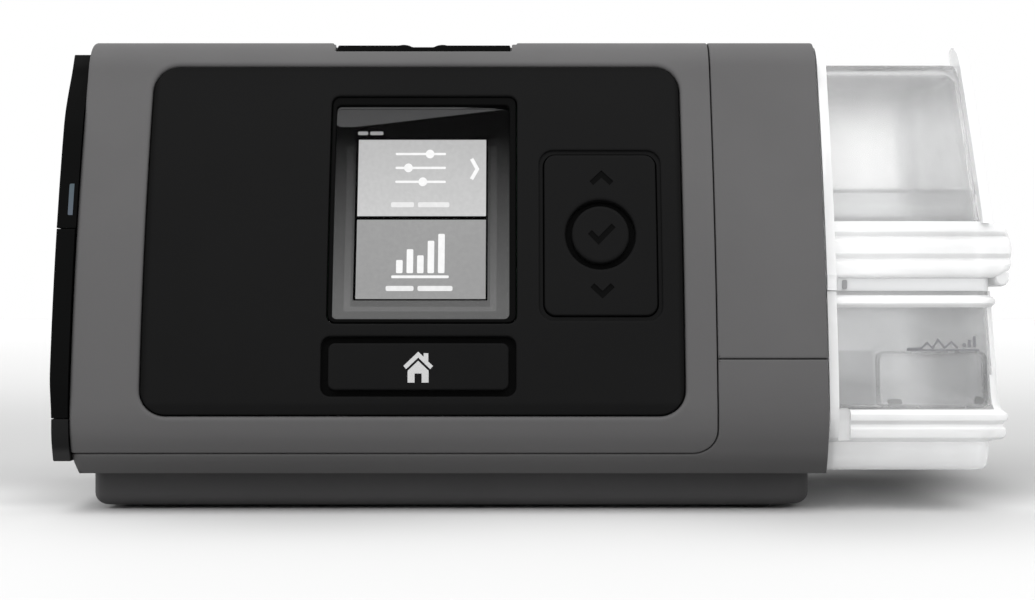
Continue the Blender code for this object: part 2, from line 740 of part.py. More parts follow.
def tub_outline(z0, z1, front, back, steps=4):
    """Side outline of the part of the tub that stands outside the bay."""
    heights = [z0 + (z1 - z0) * k / steps for k in range(steps + 1)]
    return (
        [(back, z0)]
        + [(front_y(z) + TUB_FRONT + front, z) for z in heights]
        + [(back, z1)]
    )


def lid_end(z):
    """The outer end wall of the lid leans inwards as it rises."""
    return 117.6 - 0.068 * (z - 71.0)


def lid_block(name, outline, near, inset, look=None):
    rings = [[(near(z), y, z) for y, z in outline]]
    rings.append([(lid_end(z) - inset, y, z) for y, z in outline])
    return loft(name, rings, look)


def end_flange(low, inset):
    """Side outline of a flange that follows the shell's outline above a height."""
    inner = [p for p in body_outline(inset) if p[1] > low + 1]
    return [(front_y(low) + inset, low)] + inner + [(BACK_Y - inset, low)]


def tub():
    """Water tub: base, lid, seal, metal floor, air baffle and end latch."""
    t = 1.8
    out = (74.5, TUB_X)
    obj = along_x("tub_base", tub_outline(18.4, 55.4, 0, TUB_BACK_Y), *out, CLEAR)
    tongue = box("tub_tongue", (19.3, 75.5), (-41.5, 48.7), (17.3, 55.4))
    rim = along_x("tub_rim", tub_outline(51.8, 54.6, -2.0, 64.0, 1), 74.5, 120.0)
    skirt = along_x("tub_skirt", tub_outline(17.6, 24.4, -2.2, 63.0, 2), 74.5, 120.8)
    foot = along_x(
        "tub_foot", tub_outline(BAND_Z, 18.8, 0.4, TUB_BACK_Y - 1.0, 2), 74.5, SKIRT_X
    )
    collar = along_x("tub_collar", tub_outline(18.4, 55.4, -4.0, 64.0), 74.5, 76.9)
    join(obj, tongue, rim, skirt, foot, collar)
    cut(
        obj,
        along_x("tub_water_outer", tub_outline(25.0, 60.0, t, TUB_BACK_Y - t), 77.0, TUB_X - t),
        box("tub_water_inner", (19.3 + t, 90.0), (-41.5 + t, 48.7 - t), (25.0, 60.0)),
        box("tub_well", (19.3 + t, 73.0), (-41.5 + t, 48.7 - t), (19.3, 60.0)),
        along_x(
            "tub_under", tub_outline(5.0, 22.6, t + 0.4, TUB_BACK_Y - t - 1.0), 76.4, SKIRT_X - t
        ),
        box("tub_plate_hole", (26.7, 59.3), (-26.3, 32.3), (10.0, 22.0)),
    )
    block = tub_outline(58.8, 115.8, 0, TUB_BACK_Y, 6)
    lid = lid_block("tub_lid", block, lambda z: 74.5, 0.0, CLEAR)
    arch = box("lid_tongue", (19.3, 75.5), (-41.5, 48.7), (58.8, 109.4))
    lip = along_x("lid_lip", tub_outline(61.0, 71.2, -2.4, 64.4, 2), 74.5, LIP_X)
    collar = along_x("lid_collar", end_flange(58.8, 1.2), 74.5, 76.9)
    crest = end_flange(70.0, 1.4)
    end_wall = lid_block("lid_end_wall", crest, lambda z: lid_end(z) - 2.4, 0.0)
    join(lid, arch, lip, collar, end_wall)
    hollow = tub_outline(50.0, 113.8, t, TUB_BACK_Y - t, 6)
    cut(
        lid,
        lid_block("lid_outer", hollow, lambda z: 77.0, 2.2),
        box("lid_inner", (19.3 + t, 90.0), (-41.5 + t, 48.7 - t), (50.0, 107.4)),
        along_x("lid_port", circle(*PORT, 6.2, 20), 10, 22),
        along_y("lid_outlet", circle(*OUTLET, 9.0, 24), 44, 56),
    )

    def seal_outline(d):
        front = front_y(57.0) + TUB_FRONT
        return [
            (19.8 + d, -41.0 + d),
            (75.0 + d, -41.0 + d),
            (75.0 + d, front + 0.5 + d),
            (117.0 - d, front + 0.5 + d),
            (117.0 - d, TUB_BACK_Y - 0.5 - d),
            (75.0 + d, TUB_BACK_Y - 0.5 - d),
            (75.0 + d, 48.2 - d),
            (19.8 + d, 48.2 - d),
        ]

    seal = along_z("tub_seal", seal_outline(0.0), 55.7, 58.5, SILICONE)
    cut(seal, along_z("tub_seal_hole", seal_outline(2.2), 50, 65))
    plate_ = box("tub_heat_plate", (27.0, 59.0), (-26.0, 32.0), (17.2, 18.9), STEEL)
    baffle = box("tub_baffle", (21.6, 46.0), (17.5, 37.5), (62.0, 80.0), CLEAR)
    cut(baffle, box("baffle_bore", (15.0, 44.6), (18.9, 36.1), (63.4, 78.6)))
    cut(baffle, box("baffle_mouth", (34.0, 44.6), (19.5, 35.5), (55.0, 70.0)))
    latch = box("tub_latch", (121.3, 122.8), (-22.0, 30.0), (47.0, 60.6), CLEAR)
    join(latch, box("latch_hook", (119.6, 122.8), (-22.0, 30.0), (47.0, 49.4)))
    on_axis("tub", (74.0, 3.6, 57.0), obj, lid, seal, plate_, baffle, latch)


# -------------------------------------------------------------- fasteners


def feet_and_screws():
    for i, (x, y) in enumerate(FEET, 1):
        obj = along_z(f"foot_{i}", circle(x, y, 6.1, 16), -LIFT, 0.5, RUBBER)
        smooth(obj)
    for i, (x, y) in enumerate(SCREWS, 1):
        obj = along_z(f"base_screw_{i}", circle(x, y, 2.8, 12), 0.8, 1.7, STEEL)
        shank = along_z(f"shank_{i}", circle(x, y, 1.3, 12), 1.3, 13.0)
        join(obj, shank)
        cut(obj, box(f"slot_{i}", (x - 2.0, x + 2.0), (y - 0.3, y + 0.3), (0, 1.2)))


base_housing()
front_cover()
rear_housing()
side_panel()
light_guide()
on_axis("card_cover", (-122.7, -21.9, 47.0), card_cover())
on_axis("adapter_cover", (-120.6, 19.5, 47.0), adapter_cover())
side_rail()
fascia_panel()
screen()
buttons()
boards()
card()
air_path()
rear_fittings()
bay()
tub()
feet_and_screws()
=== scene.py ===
# Looks for a bedside positive-airway-pressure machine with a slide-in water tub.
# Lengths below are in millimetres and turned into metres where each mesh is made.

import json
import math

import bmesh
import bpy
import numpy as np
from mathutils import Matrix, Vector
from mathutils.geometry import delaunay_2d_cdt


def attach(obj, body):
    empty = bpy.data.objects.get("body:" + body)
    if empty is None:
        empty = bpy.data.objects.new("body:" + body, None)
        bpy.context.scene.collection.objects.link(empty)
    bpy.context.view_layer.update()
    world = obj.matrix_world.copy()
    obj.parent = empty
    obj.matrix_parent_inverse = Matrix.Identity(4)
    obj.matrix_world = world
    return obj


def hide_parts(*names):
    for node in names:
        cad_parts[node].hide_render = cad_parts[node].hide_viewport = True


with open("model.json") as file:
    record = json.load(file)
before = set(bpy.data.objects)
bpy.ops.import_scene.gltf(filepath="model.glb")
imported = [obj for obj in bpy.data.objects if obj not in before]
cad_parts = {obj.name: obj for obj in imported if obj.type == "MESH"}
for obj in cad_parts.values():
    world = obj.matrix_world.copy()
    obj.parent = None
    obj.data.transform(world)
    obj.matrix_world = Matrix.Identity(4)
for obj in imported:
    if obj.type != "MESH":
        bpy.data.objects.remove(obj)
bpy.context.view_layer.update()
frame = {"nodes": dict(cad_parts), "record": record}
scene = bpy.context.scene
MM = 0.001
PI = math.pi

LIFT = 1.0  # heights are measured from a datum this far above the feet
TOP_Z = 122.18
BACK_Y = 66.0
SEAM_Z = 14.1
BAND_Z = 8.8


# ---------------------------------------------------------------- materials


def tree_of(name):
    mat = bpy.data.materials.new(name)
    mat.use_nodes = True
    nodes = mat.node_tree.nodes
    shader = nodes["Principled BSDF"]
    return mat, nodes, mat.node_tree.links, shader


def add(nodes, kind, inputs=None, **settings):
    made = nodes.new(kind)
    for key, value in settings.items():
        setattr(made, key, value)
    for key, value in (inputs or {}).items():
        made.inputs[key].default_value = value
    return made


def noise(nodes, links, scale, detail=3.0, rough=0.5, stretch=None):
    coord = add(nodes, "ShaderNodeTexCoord")
    tex = add(nodes, "ShaderNodeTexNoise", {"Scale": scale, "Detail": detail, "Roughness": rough})
    if stretch:
        mapping = add(nodes, "ShaderNodeMapping", {"Scale": stretch})
        links.new(coord.outputs["Object"], mapping.inputs["Vector"])
        links.new(mapping.outputs["Vector"], tex.inputs["Vector"])
    else:
        links.new(coord.outputs["Object"], tex.inputs["Vector"])
    return tex.outputs["Fac"]


def remap(nodes, links, value, lo, hi, a=0.3, b=0.7):
    made = add(
        nodes,
        "ShaderNodeMapRange",
        {"From Min": a, "From Max": b, "To Min": lo, "To Max": hi},
    )
    links.new(value, made.inputs["Value"])
    return made.outputs["Result"]


def mix_colour(nodes, links, factor, first, second):
    made = add(nodes, "ShaderNodeMix", data_type="RGBA")
    for socket, value in ((6, first), (7, second)):
        if isinstance(value, (tuple, list)):
            made.inputs[socket].default_value = (*value[:3], 1.0)
        else:
            links.new(value, made.inputs[socket])
    if isinstance(factor, float):
        made.inputs[0].default_value = factor
    else:
        links.new(factor, made.inputs[0])
    return made.outputs[2]


def by_zone(nodes, links, colour, zones):
    """Blends one shade after another in along an axis: (axis, from, to, shade) in millimetres."""
    if not zones:
        return colour
    coord = add(nodes, "ShaderNodeTexCoord")
    parts = add(nodes, "ShaderNodeSeparateXYZ")
    links.new(coord.outputs["Object"], parts.inputs[0])
    for axis, lo, hi, shade in zones:
        up = LIFT if axis == "Z" else 0.0
        rise = add(
            nodes, "ShaderNodeMapRange", {"From Min": (lo + up) * MM, "From Max": (hi + up) * MM},
            interpolation_type="SMOOTHSTEP",
        )
        links.new(parts.outputs[axis], rise.inputs["Value"])
        colour = mix_colour(nodes, links, rise.outputs["Result"], colour, shade)
    return colour


def moulded(name, rgb, rough, grain=1700.0, bump=0.25, depth=0.00006, mottle=0.05, spec=0.5, coat=0.0, zones=()):
    """Moulded plastic: a fine eroded grain, slow changes of shade and of gloss."""
    mat, nodes, links, shader = tree_of(name)
    broad = noise(nodes, links, 26.0, 4.0)
    shade = remap(nodes, links, broad, 0.0, 1.0)
    dark = [c * (1.0 - mottle) for c in rgb]
    light = [c * (1.0 + mottle) for c in rgb]
    colour = mix_colour(nodes, links, shade, dark, light)
    colour = by_zone(nodes, links, colour, zones)
    links.new(colour, shader.inputs["Base Color"])
    spots = noise(nodes, links, 110.0, 5.0, 0.6)
    links.new(remap(nodes, links, spots, rough - 0.035, rough + 0.05), shader.inputs["Roughness"])
    fine = noise(nodes, links, grain, 2.0, 0.6)
    made = add(nodes, "ShaderNodeBump", {"Strength": bump, "Distance": depth})
    links.new(fine, made.inputs["Height"])
    links.new(made.outputs["Normal"], shader.inputs["Normal"])
    shader.inputs["Specular IOR Level"].default_value = spec
    shader.inputs["Coat Weight"].default_value = coat
    mat.diffuse_color = (*rgb, 1.0)
    return mat


def metal(name, rgb, rough, brush=(40.0, 900.0, 900.0), bump=0.12):
    """Metal with fine drawn lines along one direction."""
    mat, nodes, links, shader = tree_of(name)
    lines = noise(nodes, links, 1.0, 3.0, 0.6, brush)
    shade = remap(nodes, links, lines, 0.0, 1.0)
    dark = [c * 0.9 for c in rgb]
    light = [min(1.0, c * 1.06) for c in rgb]
    links.new(mix_colour(nodes, links, shade, dark, light), shader.inputs["Base Color"])
    links.new(remap(nodes, links, lines, rough - 0.06, rough + 0.08), shader.inputs["Roughness"])
    made = add(nodes, "ShaderNodeBump", {"Strength": bump, "Distance": 0.00004})
    links.new(lines, made.inputs["Height"])
    links.new(made.outputs["Normal"], shader.inputs["Normal"])
    shader.inputs["Metallic"].default_value = 1.0
    mat.diffuse_color = (*rgb, 1.0)
    return mat


def clear(name, tint, rough, milk, ior=1.46, grain=240.0, bump=0.06, shade=0.5, zones=()):
    """Clear moulded plastic, a little milky, that lets lamps through to what is inside."""
    mat, nodes, links, shader = tree_of(name)
    flow = noise(nodes, links, grain, 3.0, 0.55)
    links.new(remap(nodes, links, flow, max(0.02, rough - 0.03), rough + 0.05), shader.inputs["Roughness"])
    if milk > 0.0:
        haze = noise(nodes, links, 34.0, 3.0)
        links.new(
            remap(nodes, links, haze, 1.0 - milk - 0.05, 1.0 - milk + 0.05, 0.35, 0.65),
            shader.inputs["Transmission Weight"],
        )
    else:
        shader.inputs["Transmission Weight"].default_value = 1.0
    made = add(nodes, "ShaderNodeBump", {"Strength": bump, "Distance": 0.0004})
    links.new(flow, made.inputs["Height"])
    links.new(made.outputs["Normal"], shader.inputs["Normal"])
    cloud = remap(nodes, links, noise(nodes, links, 22.0, 2.0), 0.0, 1.0, 0.3, 0.7)
    colour = mix_colour(nodes, links, cloud, [c * 0.97 for c in tint], [min(1.0, c * 1.02) for c in tint])
    colour = by_zone(nodes, links, colour, zones)
    links.new(colour, shader.inputs["Base Color"])
    shader.inputs["IOR"].default_value = ior
    through = add(nodes, "ShaderNodeBsdfTransparent", {"Color": (shade, shade, shade, 1.0)})
    path = add(nodes, "ShaderNodeLightPath")
    blend = add(nodes, "ShaderNodeMixShader")
    links.new(path.outputs["Is Shadow Ray"], blend.inputs[0])
    links.new(shader.outputs[0], blend.inputs[1])
    links.new(through.outputs[0], blend.inputs[2])
    links.new(blend.outputs[0], nodes["Material Output"].inputs["Surface"])
    mat.diffuse_color = (*tint, 0.4)
    return mat


def lit(name, low, high, z0, z1, strength, rough=0.35):
    """A glowing part of the display, used for its lit content and also for painted reflection on its window: its
    brightness changes evenly from one height to another.
    """
    mat, nodes, links, shader = tree_of(name)
    coord = add(nodes, "ShaderNodeTexCoord")
    parts = add(nodes, "ShaderNodeSeparateXYZ")
    links.new(coord.outputs["Object"], parts.inputs[0])
    made = add(
        nodes,
        "ShaderNodeMapRange",
        {"From Min": (z0 + LIFT) * MM, "From Max": (z1 + LIFT) * MM, "To Min": 0.0, "To Max": 1.0},
    )
    links.new(parts.outputs["Z"], made.inputs["Value"])
    colour = mix_colour(nodes, links, made.outputs["Result"], low, high)
    grid = noise(nodes, links, 900.0, 1.0)
    dim = remap(nodes, links, grid, 0.97, 1.03)
    scaled = add(nodes, "ShaderNodeVectorMath", operation="SCALE")
    links.new(colour, scaled.inputs[0])
    links.new(dim, scaled.inputs["Scale"])
    links.new(scaled.outputs[0], shader.inputs["Emission Color"])
    shader.inputs["Emission Strength"].default_value = strength
    shader.inputs["Base Color"].default_value = (0.001, 0.001, 0.001, 1.0)
    shader.inputs["Roughness"].default_value = rough
    shader.inputs["Specular IOR Level"].default_value = 0.0
    mat.diffuse_color = (*high, 1.0)
    return mat


# Painted shade: the shell's grey darkens below 55–80 mm, and more at the chin below 15.5–21 mm.
SHELL = moulded(
    "shell_satin_grey", (0.08, 0.0785, 0.0795), 0.55, spec=0.2,
    zones=(("Z", 80.0, 55.0, (0.0765, 0.075, 0.076)), ("Z", 21.0, 15.5, (0.07, 0.0687, 0.0695))),
)
# Painted shade: the base's grey darkens below 26–36 mm, and more on the band below 12–15.5 mm.
BASE = moulded("base_satin_grey", (0.0775, 0.076, 0.077), 0.55, spec=0.2, zones=(("Z", 36.0, 26.0, (0.0715, 0.07, 0.071)), ("Z", 15.5, 12.0, (0.06, 0.059, 0.0595))))
# Painted light: the plinth is tinted lighter at its rounded left end.
FOOT_GREY = moulded("plinth_dark_grey", (0.058, 0.057, 0.058), 0.6, spec=0.15, zones=(("X", -112.4, -113.4, (0.075, 0.074, 0.075)),))
# Painted shade: the fascia is darker in narrow strips along its left, right, lower and upper edges.
FASCIA = moulded(
    "fascia_soft_black", (0.0056, 0.0056, 0.0057), 0.5, 1500.0, 0.15, spec=0.045,
    zones=(
        ("X", -98.3, -99.9, (0.003, 0.003, 0.003)), ("X", 35.9, 37.4, (0.003, 0.003, 0.003)),
        ("Z", 27.4, 26.2, (0.0042, 0.0042, 0.0043)), ("Z", 113.0, 114.4, (0.0045, 0.0045, 0.0046)),
    ),
)
# Painted shade and light: the black side covers are darker above 100–106 mm and lighter at the top, above 113.5–117 mm.
SIDE = moulded("side_soft_black", (0.0021, 0.0022, 0.0022), 0.5, 1400.0, 0.2, spec=0.03, zones=(("Z", 100.0, 106.0, (0.0013, 0.0013, 0.0013)), ("Z", 113.5, 117.0, (0.005, 0.005, 0.005))))
RAIL = moulded("rail_dark_grey", (0.0085, 0.0085, 0.0086), 0.55, spec=0.06, zones=(("Z", 16.2, 14.0, (0.022, 0.0218, 0.022)),))
KEY = moulded("key_black", (0.0054, 0.0054, 0.0055), 0.5, 1500.0, 0.12, spec=0.045)
START_KEY = moulded("start_key_black", (0.0035, 0.0035, 0.0035), 0.6, 1500.0, 0.12, spec=0.0)
# Painted shade: the floors of the marks sunk into the keys are darker than the keys.
KEY_MARK = moulded("key_mark_dark", (0.0026, 0.0026, 0.0026), 0.6, spec=0.02)
WHITE_MARK = moulded("printed_white", (0.42, 0.42, 0.42), 0.5, 900.0, 0.1)
BEZEL = moulded("bezel_black", (0.002, 0.002, 0.002), 0.5, spec=0.03)
GROOVE = moulded("groove_shadow", (0.0045, 0.0045, 0.0045), 0.7, spec=0.03)
RUBBER = moulded("foot_rubber", (0.022, 0.022, 0.022), 0.85, 800.0, 0.5, 0.0001)
SILICONE = moulded("seal_silicone", (0.48, 0.49, 0.5), 0.55, 500.0, 0.15, mottle=0.03)
INNER = moulded("inner_moulding", (0.045, 0.045, 0.048), 0.5, 900.0, 0.35)
LINER = moulded("bay_moulding", (0.07, 0.07, 0.073), 0.45, 900.0, 0.3)
STEEL = metal("drawn_steel", (0.55, 0.55, 0.56), 0.3)
ALLOY = metal("brushed_alloy", (0.66, 0.66, 0.68), 0.34)
WATERLINE = moulded("level_print", (0.16, 0.16, 0.17), 0.5)
WINDOW = clear("screen_window_clear", (1.0, 1.0, 1.0), 0.03, 0.0, 1.08, 400.0, 0.01, 0.9)
# Painted light and shade in the clear lid: its upper part is tinted darker, and bands of darker and lighter tint run
# across it near 94–100 mm and along it below 82 mm.
TUB_LID = clear(
    "tub_clear_lid", (0.96, 0.96, 0.96), 0.2, 0.12, 1.4,
    zones=(
        ("X", 93.5, 95.5, (0.88, 0.882, 0.885)), ("X", 98.5, 101.5, (0.965, 0.967, 0.97)),
        ("Z", 96.0, 113.0, (0.68, 0.682, 0.685)), ("Z", 81.9, 81.5, (0.84, 0.843, 0.846)),
        ("Z", 78.5, 77.0, (0.88, 0.883, 0.886)), ("Z", 75.5, 74.0, (0.8, 0.803, 0.806)),
    ),
)
# Painted shade and light: the ridges are greyer towards their outer ends, a little grey below 25.6 mm and whiter on the
# skirt below 16.6 mm; the milky white also stands in for highlights on the rims.
TUB_RIDGE = clear("tub_clear_ridge", (0.96, 0.962, 0.965), 0.22, 0.56, 1.4, zones=(("X", 113.0, 119.0, (0.88, 0.883, 0.886)), ("Z", 26.4, 25.6, (0.94, 0.942, 0.945)), ("Z", 17.4, 16.6, (0.99, 0.992, 0.995))))
# Painted light and shade in the clear chamber: below 40 mm its tint changes in bands along its length, darkest at its
# left end; above 40 mm it has one even tint.
TUB_BASE = clear(
    "tub_clear_base", (0.84, 0.844, 0.848), 0.18, 0.12, 1.4,
    zones=(
        ("X", 97.0, 104.0, (0.7, 0.704, 0.708)), ("X", 109.0, 113.0, (0.78, 0.784, 0.788)),
        ("X", 88.0, 85.5, (0.64, 0.644, 0.648)), ("Z", 39.9, 40.3, (0.77, 0.774, 0.778)),
    ),
)
# Painted shade: the inner frame's clear is tinted darker than the tub, so its edges show as dark lines.
TUB_SHADE = clear("tub_clear_inner", (0.6, 0.604, 0.608), 0.25, 0.1, 1.15)
TUB_PIN = clear("tub_clear_pin", (0.3, 0.303, 0.306), 0.3, 0.1, 1.15)
CLEAR = clear("clear_moulding", (0.93, 0.935, 0.94), 0.15, 0.15, 1.4)
SEAL = moulded("tub_seal_grey", (0.6, 0.605, 0.61), 0.5, 600.0, 0.1, mottle=0.03)
SEAL_MARK = moulded("tub_seal_mark", (0.27, 0.272, 0.275), 0.5, 600.0, 0.1)
DARK_GLASS = lit("screen_dark", (0.0006, 0.0006, 0.0006), (0.0006, 0.0006, 0.0006), 50, 100, 1.0)
# Painted reflection: the display's border and its inner stripes glow grey, fading from the bottom up.
EDGE_PAINTED_REFLECTION = lit("screen_edge", (0.13, 0.13, 0.13), (0.002, 0.002, 0.002), 52.0, 96.0, 1.0)
STRIPE_PAINTED_REFLECTION = lit("screen_edge_inner", (0.17, 0.17, 0.17), (0.012, 0.012, 0.012), 52.0, 95.0, 1.0)
# Painted reflection: a glowing grey wedge along the top of the display stands in for the reflection on the window.
PAINTED_GLARE = lit("screen_glare", (0.075, 0.075, 0.076), (0.062, 0.062, 0.063), 98.0, 106.0, 1.0)
TILE_A = lit("screen_field_upper", (0.62, 0.62, 0.62), (0.52, 0.52, 0.52), 75.0, 95.0, 1.0)
TILE_B = lit("screen_field_lower", (0.34, 0.34, 0.34), (0.36, 0.36, 0.36), 53.0, 74.0, 1.0)
LIT_MARK = lit("screen_mark", (0.97, 0.97, 0.97), (0.97, 0.97, 0.97), 50.0, 100.0, 1.0)
LIT_TITLE = lit("screen_title", (0.36, 0.36, 0.36), (0.36, 0.36, 0.36), 50.0, 100.0, 1.0)
LIT_WORD = lit("screen_caption", (0.9, 0.9, 0.9), (0.82, 0.82, 0.82), 50.0, 100.0, 1.0)
STATUS = lit("status_light", (0.115, 0.135, 0.165), (0.1, 0.13, 0.15), 75.0, 83.0, 1.0)
BOARD = moulded("board_green", (0.015, 0.085, 0.035), 0.45, 500.0, 0.3, mottle=0.2)
FOAM = moulded("filter_fibre", (0.58, 0.6, 0.62), 0.9, 420.0, 0.9, 0.0004, mottle=0.08, spec=0.1)
CARD = moulded("card_body", (0.025, 0.05, 0.14), 0.38, 900.0, 0.2)
FILM = moulded("ribbon_film", (0.45, 0.28, 0.08), 0.35, 700.0, 0.1)


# ------------------------------------------------------------ mesh building


class Shape:
    """Gathers closed bodies that make one piece."""

    def __init__(self):
        self.verts, self.faces, self.looks = [], [], []

    def add(self, verts, faces, look=0):
        base = len(self.verts)
        self.verts += [tuple(v) for v in verts]
        self.faces += [tuple(base + i for i in f) for f in faces]
        self.looks += look if isinstance(look, list) else [look] * len(faces)

    def bmesh(self):
        bm = bmesh.new()
        made = [bm.verts.new(Vector((x, y, z + LIFT)) * MM) for x, y, z in self.verts]
        for f, look in zip(self.faces, self.looks):
            if len(set(f)) < 3:
                continue
            try:
                face = bm.faces.new([made[i] for i in f])
            except ValueError:
                continue
            face.material_index = look
        bmesh.ops.remove_doubles(bm, verts=bm.verts[:], dist=2e-7)
        loose = [v for v in bm.verts if not v.link_faces]
        bmesh.ops.delete(bm, geom=loose, context="VERTS")
        bmesh.ops.recalc_face_normals(bm, faces=bm.faces[:])
        return bm

    def object(self, name, looks, angle=38.0):
        bm = self.bmesh()
        mesh = bpy.data.meshes.new(name)
        bm.to_mesh(mesh)
        bm.free()
        return dress(name, mesh, looks, angle)


def dress(name, mesh, looks, angle=38.0):
    obj = bpy.data.objects.new(name, mesh)
    scene.collection.objects.link(obj)
    for look in looks:
        mesh.materials.append(look)
    mesh.shade_smooth()
    mesh.set_sharp_from_angle(angle=math.radians(angle))
    return obj


def place(obj, body="housing", replaces=()):
    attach(obj, body)
    if replaces:
        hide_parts(*([replaces] if isinstance(replaces, str) else replaces))
    return obj


def area(loop):
    return 0.5 * sum(
        a[0] * b[1] - b[0] * a[1] for a, b in zip(loop, loop[1:] + loop[:1])
    )


def turned_to(loop, positive):
    return loop if (area(loop) > 0) == positive else loop[::-1]


def rrect(a0, a1, b0, b1, r=0.0, n=8):
    radii = r if isinstance(r, (list, tuple)) else (r,) * 4
    corners = (
        (a0, b0, 1, 1, 180),
        (a1, b0, -1, 1, 270),
        (a1, b1, -1, -1, 0),
        (a0, b1, 1, -1, 90),
    )
    out = []
    for (a, b, sa, sb, start), radius in zip(corners, radii):
        if radius < 0.02:
            out.append((a, b))
            continue
        ca, cb = a + sa * radius, b + sb * radius
        for k in range(n + 1):
            t = math.radians(start + 90 * k / n)
            out.append((ca + radius * math.cos(t), cb + radius * math.sin(t)))
    return out


def ring(a, b, r, n=48, start=0.0):
    return [
        (a + r * math.cos(start + 2 * PI * k / n), b + r * math.sin(start + 2 * PI * k / n))
        for k in range(n)
    ]


def cut_at(loop, values, axis):
    """Adds points to a loop wherever it crosses the given values of one coordinate."""
    out = []
    for p, q in zip(loop, loop[1:] + loop[:1]):
        out.append(p)
        lo, hi = sorted((p[axis], q[axis]))
        found = [v for v in values if lo + 0.12 < v < hi - 0.12]
        if p[axis] > q[axis]:
            found = found[::-1]
        for v in found:
            t = (v - p[axis]) / (q[axis] - p[axis])
            out.append((p[0] + (q[0] - p[0]) * t, p[1] + (q[1] - p[1]) * t))
    return out


def shifted(loop, off):
    """Moves each edge of a loop to its left by a distance, with mitred corners."""
    if abs(off) < 1e-9:
        return list(loop)
    out = []
    n = len(loop)
    for i in range(n):
        p0, p, p1 = loop[i - 1], loop[i], loop[(i + 1) % n]
        ax, ay = p[0] - p0[0], p[1] - p0[1]
        bx, by = p1[0] - p[0], p1[1] - p[1]
        la, lb = math.hypot(ax, ay) or 1e-9, math.hypot(bx, by) or 1e-9
        n1, n2 = (-ay / la, ax / la), (-by / lb, bx / lb)
        k = 1.0 + n1[0] * n2[0] + n1[1] * n2[1]
        k = max(k, 0.35)
        out.append((p[0] + (n1[0] + n2[0]) / k * off, p[1] + (n1[1] + n2[1]) / k * off))
    return out


def inside(points, loops):
    """Which points lie in the region between the loops, by counting crossings."""
    hits = np.zeros(len(points), bool)
    x, y = points[:, 0], points[:, 1]
    for loop in loops:
        a = np.array(loop)
        b = np.roll(a, -1, axis=0)
        for (x0, y0), (x1, y1) in zip(a, b):
            if y0 == y1:
                continue
            crosses = ((y0 > y) != (y1 > y)) & (x < (x1 - x0) * (y - y0) / (y1 - y0) + x0)
            hits ^= crosses
    return hits


def clearance(points, loops):
    """Distance of each point from the nearest edge of the loops."""
    best = np.full(len(points), 1e9)
    for loop in loops:
        a = np.array(loop)
        b = np.roll(a, -1, axis=0)
        for p, q in zip(a, b):
            d = q - p
            length = float(d @ d)
            if length < 1e-12:
                continue
            t = np.clip(((points - p) @ d) / length, 0, 1)
            best = np.minimum(best, np.hypot(*(points - (p + t[:, None] * d)).T))
    return best


def fill(loops, grid, margin=0.5):
    """Triangles between the loops, through the grid points that lie clear of them.
    Returns the extra points and the triangles; a loop's points come first, in order."""
    flat = [p for loop in loops for p in loop]
    edges, base = [], 0
    for loop in loops:
        edges += [(base + i, base + (i + 1) % len(loop)) for i in range(len(loop))]
        base += len(loop)
    extra = []
    if len(grid):
        grid = np.array(grid, float)
        grid = grid[inside(grid, loops)]
        if len(grid):
            grid = grid[clearance(grid, loops) > margin]
        extra = [tuple(p) for p in grid]
    found = delaunay_2d_cdt([Vector(p) for p in flat + extra], edges, [], 0, 1e-6, True)
    points, _, faces, origin = found[0], found[1], found[2], found[3]
    centres = np.array([np.mean([points[i] for i in f], axis=0) for f in faces])
    good = inside(centres, loops)
    new, index = list(extra), {}
    for j, source in enumerate(origin):
        if source:
            index[j] = min(source)
        else:
            index[j] = len(flat) + len(new)
            new.append(tuple(points[j]))
    tris = []
    for f, ok in zip(faces, good):
        t = tuple(index[i] for i in f)
        if ok and len(set(t)) == 3:
            tris.append(t)
    return new, tris


